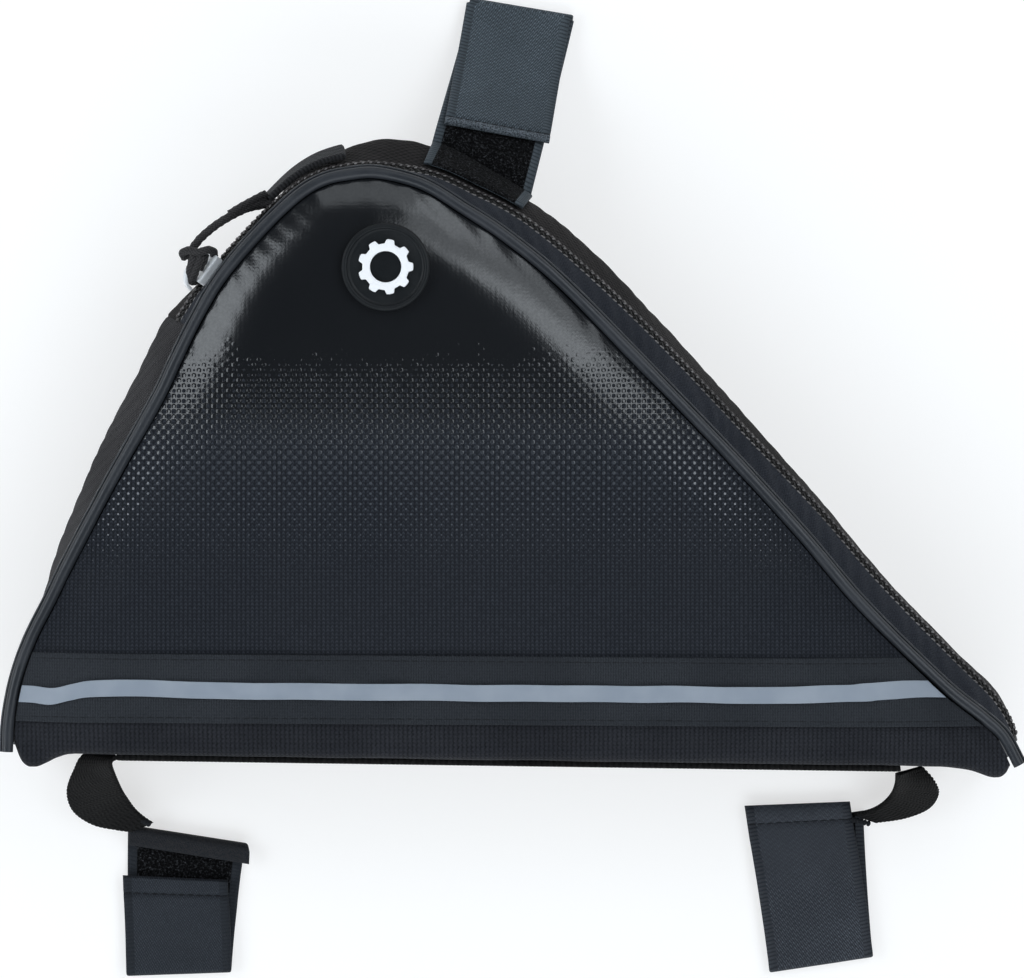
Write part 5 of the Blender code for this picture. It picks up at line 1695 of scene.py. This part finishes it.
@dataclass
class TopStrap:
    """The strap above the bag: sewn in behind the zip, it falls to the floor and folds back."""

    form: Form
    finish: bpy.types.Material
    thread: bpy.types.Material
    width: float = 0.0305
    thickness: float = 0.0015
    layer_gap: float = 0.0005
    root_z: float = 0.0235
    at: float = 0.521
    lean: float = 9.6
    clear: float = 0.0005
    length: float = 0.0515
    reach: float = 0.847
    flap_end: float = 0.32
    shift: float = -0.0026
    drift: float = 0.0038
    fold_shift: float = 0.0008
    below_zip: float = 0.0024
    hem: float = 0.0026
    fall: tuple[tuple[float, float], ...] = (
        (0.0, 1.0), (0.12, 0.93), (0.30, 0.69), (0.50, 0.38), (0.70, 0.14), (0.86, 0.03), (1.0, 0.0))

    def build(self) -> list[bpy.types.Object]:
        """Make the strap: a root laid on the gusset, a back layer that falls, a fold and the flap."""
        form = self.form
        lean = radians(self.lean)
        way = np.array([np.sin(lean), np.cos(lean)])
        side = np.array([np.cos(lean), -np.sin(lean)])
        root = form.at(np.array(self.at))[0]
        shares = np.linspace(0.40, 0.62, 45)
        lines, _, _ = form.sections(shares)
        point, _, normal = form.at(shares)
        falling = lines[:, ::-1]
        pick = np.argmin(np.abs(falling[..., 1] - self.root_z), axis=1)
        beyond = falling[np.arange(45), pick, 0] + self.clear
        outer = point + normal * beyond[:, None] - root
        beside, away = outer @ side, outer @ way
        far = float(away.max()) + self.length * self.reach
        backs = smooth(self.fall, 90)
        low = self.thickness / 2
        drop = self.root_z - low
        s = edge_rows(30, self.width, 0.0009) - 0.5

        def start_at(place: Array) -> Array:
            """Return how far from the root the strap leaves the gusset, at a place across it."""
            return np.interp(place, beside, away) + self.thickness * 0.4

        share, fallen = backs[:, :1], backs[:, 1:]
        place = s * self.width + self.shift + self.drift * share
        reach = start_at(place) + (far - start_at(place)) * share
        back = np.stack([reach, place, low + drop * fallen * np.ones_like(place)], axis=-1)
        layer = self.thickness + self.layer_gap
        radius = layer / 2
        turn = np.linspace(0, pi, 14)[1:-1, None]
        fold = np.stack([far + radius * np.sin(turn) + 0 * s, s * self.width + self.fold_shift + 0 * turn,
                         low + radius * (1 - np.cos(turn)) + 0 * s], axis=-1)
        share = np.linspace(1, self.flap_end, 80)[:, None]
        reach = far * share + float(away.mean()) * (1 - share) + 0 * s
        slopes = np.gradient(backs[:, 1], backs[:, 0])
        steep = np.interp(share, backs[:, 0], slopes) * drop / (far - away.mean())
        place = s * self.width + 0 * share
        local = (reach - start_at(place)) / (far - start_at(place))
        height = low + drop * np.interp(local, backs[:, 0], backs[:, 1]) + layer * np.sqrt(1 + steep**2)
        flap = np.stack([reach, place, height], axis=-1)
        parts = np.concatenate([back, fold, flap])
        flat = root + way * parts[..., :1] + side * parts[..., 1:2]
        where = np.interp(s * self.width + self.shift, beside, shares)
        lines, lengths, zip_length = form.sections(where)
        root_length = [np.interp(-self.root_z, -line[:, 1], run) for line, run in zip(lines, lengths)]
        first = (zip_length + self.below_zip)[:, None]
        down = first + (np.array(root_length)[:, None] - first) * np.linspace(0, 0.96, 14)
        laid, outward, _, _ = form.gusset(where, down)
        laid = np.swapaxes(laid + outward * (self.clear + self.thickness / 2), 0, 1)
        grid = np.concatenate([laid, np.concatenate([flat, parts[..., 2:]], axis=-1)])
        count = len(grid)
        on_flap = (np.arange(count) >= count - 80).astype(float)
        run = np.cumsum(np.pad(np.linalg.norm(np.diff(grid[:, 15], axis=0), axis=1), (1, 0)))
        left = run[-1] - run
        hem = on_flap * np.clip((self.hem - left) / 0.0004, 0, 1)
        groove = on_flap * np.exp(-((left - self.hem - 0.0004) / 0.0006) ** 2)
        half = self.thickness / 2
        long = run[:, None] + 0 * s
        lay = np.stack([long, s * self.width + 0 * long, 0 * long], axis=-1)
        normals = sheet_normals(grid)
        turned = 1.0 if float(normals[count - 5, 15, 2]) > 0 else -1.0
        outer = turned * (half + 0.00055 * hem - 0.0006 * groove)
        inner = -turned * half * np.ones(count)
        body = walled(grid, inner[:, None, None], outer[:, None, None], lay, 0.3, 0.0007)
        half_count = len(body.points) // 2
        body.lay[half_count:, 2] = 1.0
        body.lay[:half_count, 2] = np.repeat(np.where(hem > 0.5, -1.0, 0.0), len(s))
        strap = body.build("top_strap_loop", self.finish)
        dress(strap, "hook_and_loop", "top_strap")
        row = int(np.argmin(np.abs(left - self.hem - 0.0004)))
        up = normals[row] * turned
        return [strap, hem_stitches("top_strap_stitches", grid[row], up, half - 0.0003, self.thread)]


# Studio

@dataclass
class Studio:
    """A pale floor, five soft lights round the bag, and the camera above."""

    floor_size: float = 6.0
    camera_height: float = 1.53
    view_width: float = 0.292571
    sensor: float = 36.0

    @staticmethod
    def light(name: str, place: tuple[float, float, float], size: tuple[float, float],
              power: float) -> None:
        """Hang one rectangular soft light, turned to the bag."""
        lamp = bpy.data.lights.new(name, "AREA")
        lamp.shape = "RECTANGLE"
        lamp.size, lamp.size_y = size
        lamp.energy = power
        lamp.color = (0.88, 0.945, 1.0)
        holder = bpy.data.objects.new(name, lamp)
        bpy.context.scene.collection.objects.link(holder)
        holder.location = place
        holder.rotation_euler = (-Vector(place)).to_track_quat("-Z", "Y").to_euler()

    def build(self) -> None:
        """Make the floor, the world, the lights and the camera."""
        mesh = bpy.data.meshes.new("floor")
        half = self.floor_size / 2
        corners = [(-half, -half, 0), (half, -half, 0), (half, half, 0), (-half, half, 0)]
        mesh.from_pydata(corners, [], [(0, 1, 2, 3)])
        floor = bpy.data.objects.new("floor", mesh)
        bpy.context.scene.collection.objects.link(floor)
        made, w, shader = new_material("pale_floor")
        place = w.node("ShaderNodeTexCoord").outputs["Object"]
        grey = w.mix(w.noise(place, 3.0), (0.42, 0.42, 0.42), (0.44, 0.44, 0.44))
        w.put(shader.inputs["Base Color"], grey)
        settle(shader, {"Roughness": 0.9, "Specular IOR Level": 0.1,
                        "Emission Color": (1.0, 1.0, 1.0, 1.0), "Emission Strength": 0.62})
        mesh.materials.append(made)
        world = bpy.data.worlds.new("studio")
        bpy.context.scene.world = world
        world.use_nodes = True
        settle(world.node_tree.nodes["Background"], {"Color": (0.86, 0.93, 1.0, 1.0), "Strength": 0.05})
        self.light("left_light", (-1.05, 0.10, 0.72), (1.5, 0.6), 9.5)
        self.light("right_light", (0.80, 0.10, 1.05), (1.5, 0.8), 7.0)
        self.light("upper_light", (0.62, 0.75, 0.95), (0.9, 0.9), 3.6)
        self.light("back_light", (0.0, 1.25, 0.75), (1.5, 0.55), 3.0)
        self.light("front_light", (0.0, -1.30, 1.05), (2.0, 0.8), 16.5)
        scene = bpy.context.scene
        scene.view_settings.view_transform = "Standard"
        camera = bpy.data.cameras.new("camera")
        camera.sensor_width = self.sensor
        camera.lens = self.sensor * (self.camera_height - 0.03) / self.view_width
        camera.clip_start, camera.clip_end = 0.05, 20.0
        holder = bpy.data.objects.new("camera", camera)
        holder.location = (-0.000143, -0.000143, self.camera_height)
        scene.collection.objects.link(holder)
        scene.camera = holder


def main() -> None:
    """Build the bag piece by piece, then its studio."""
    logging.basicConfig(level=logging.INFO, format="%(name)s %(message)s")
    form = Form()
    finishes = Finishes()
    Studio().build()
    zip_coil = Zip(form, finishes)
    Pull(form, finishes).build()
    FrontPanel(form, finishes.front).build()
    BackPanel(form, finishes.back).build()
    BaseWrap(form, finishes.rib).build()
    Gusset(form, finishes).build()
    Piping(form, finishes.piping).build()
    zip_coil.build()
    Slider(zip_coil, finishes.steel).build()
    Trim(form, finishes).build()
    Badge(form, finishes).build()
    Webbing(form, finishes).build()
    webbing, strap = Webbing.width, Strap.width
    left_x = Webbing.start * form.length - 0.0617 * webbing + strap / 2
    thread = finishes.thread
    Strap(finishes.left_strap, thread, "left_strap_loop", "left_strap",
          (left_x, form.base_line - 1.27 * webbing), 2.0, 0.0411, 0.0136, 0.0062, 0.13, False,
          flap_skew=0.12, hem_skew=0.11, hem_drop=0.0018, hem_shift=0.0012, flare=0.16,
          hem=0.0052).build()
    right_x = Webbing.end * form.length - 0.693 * webbing - strap / 2
    Strap(finishes.right_strap, thread, "right_strap_loop", "right_strap",
          (right_x, form.base_line - 0.83 * webbing), 8.6, 0.0468, 0.0, 0.0040, 0.09, True,
          start=0.0050, flap_skew=0.02).build()
    TopStrap(form, finishes.top_strap, thread).build()


if __name__ == "__main__":
    main()
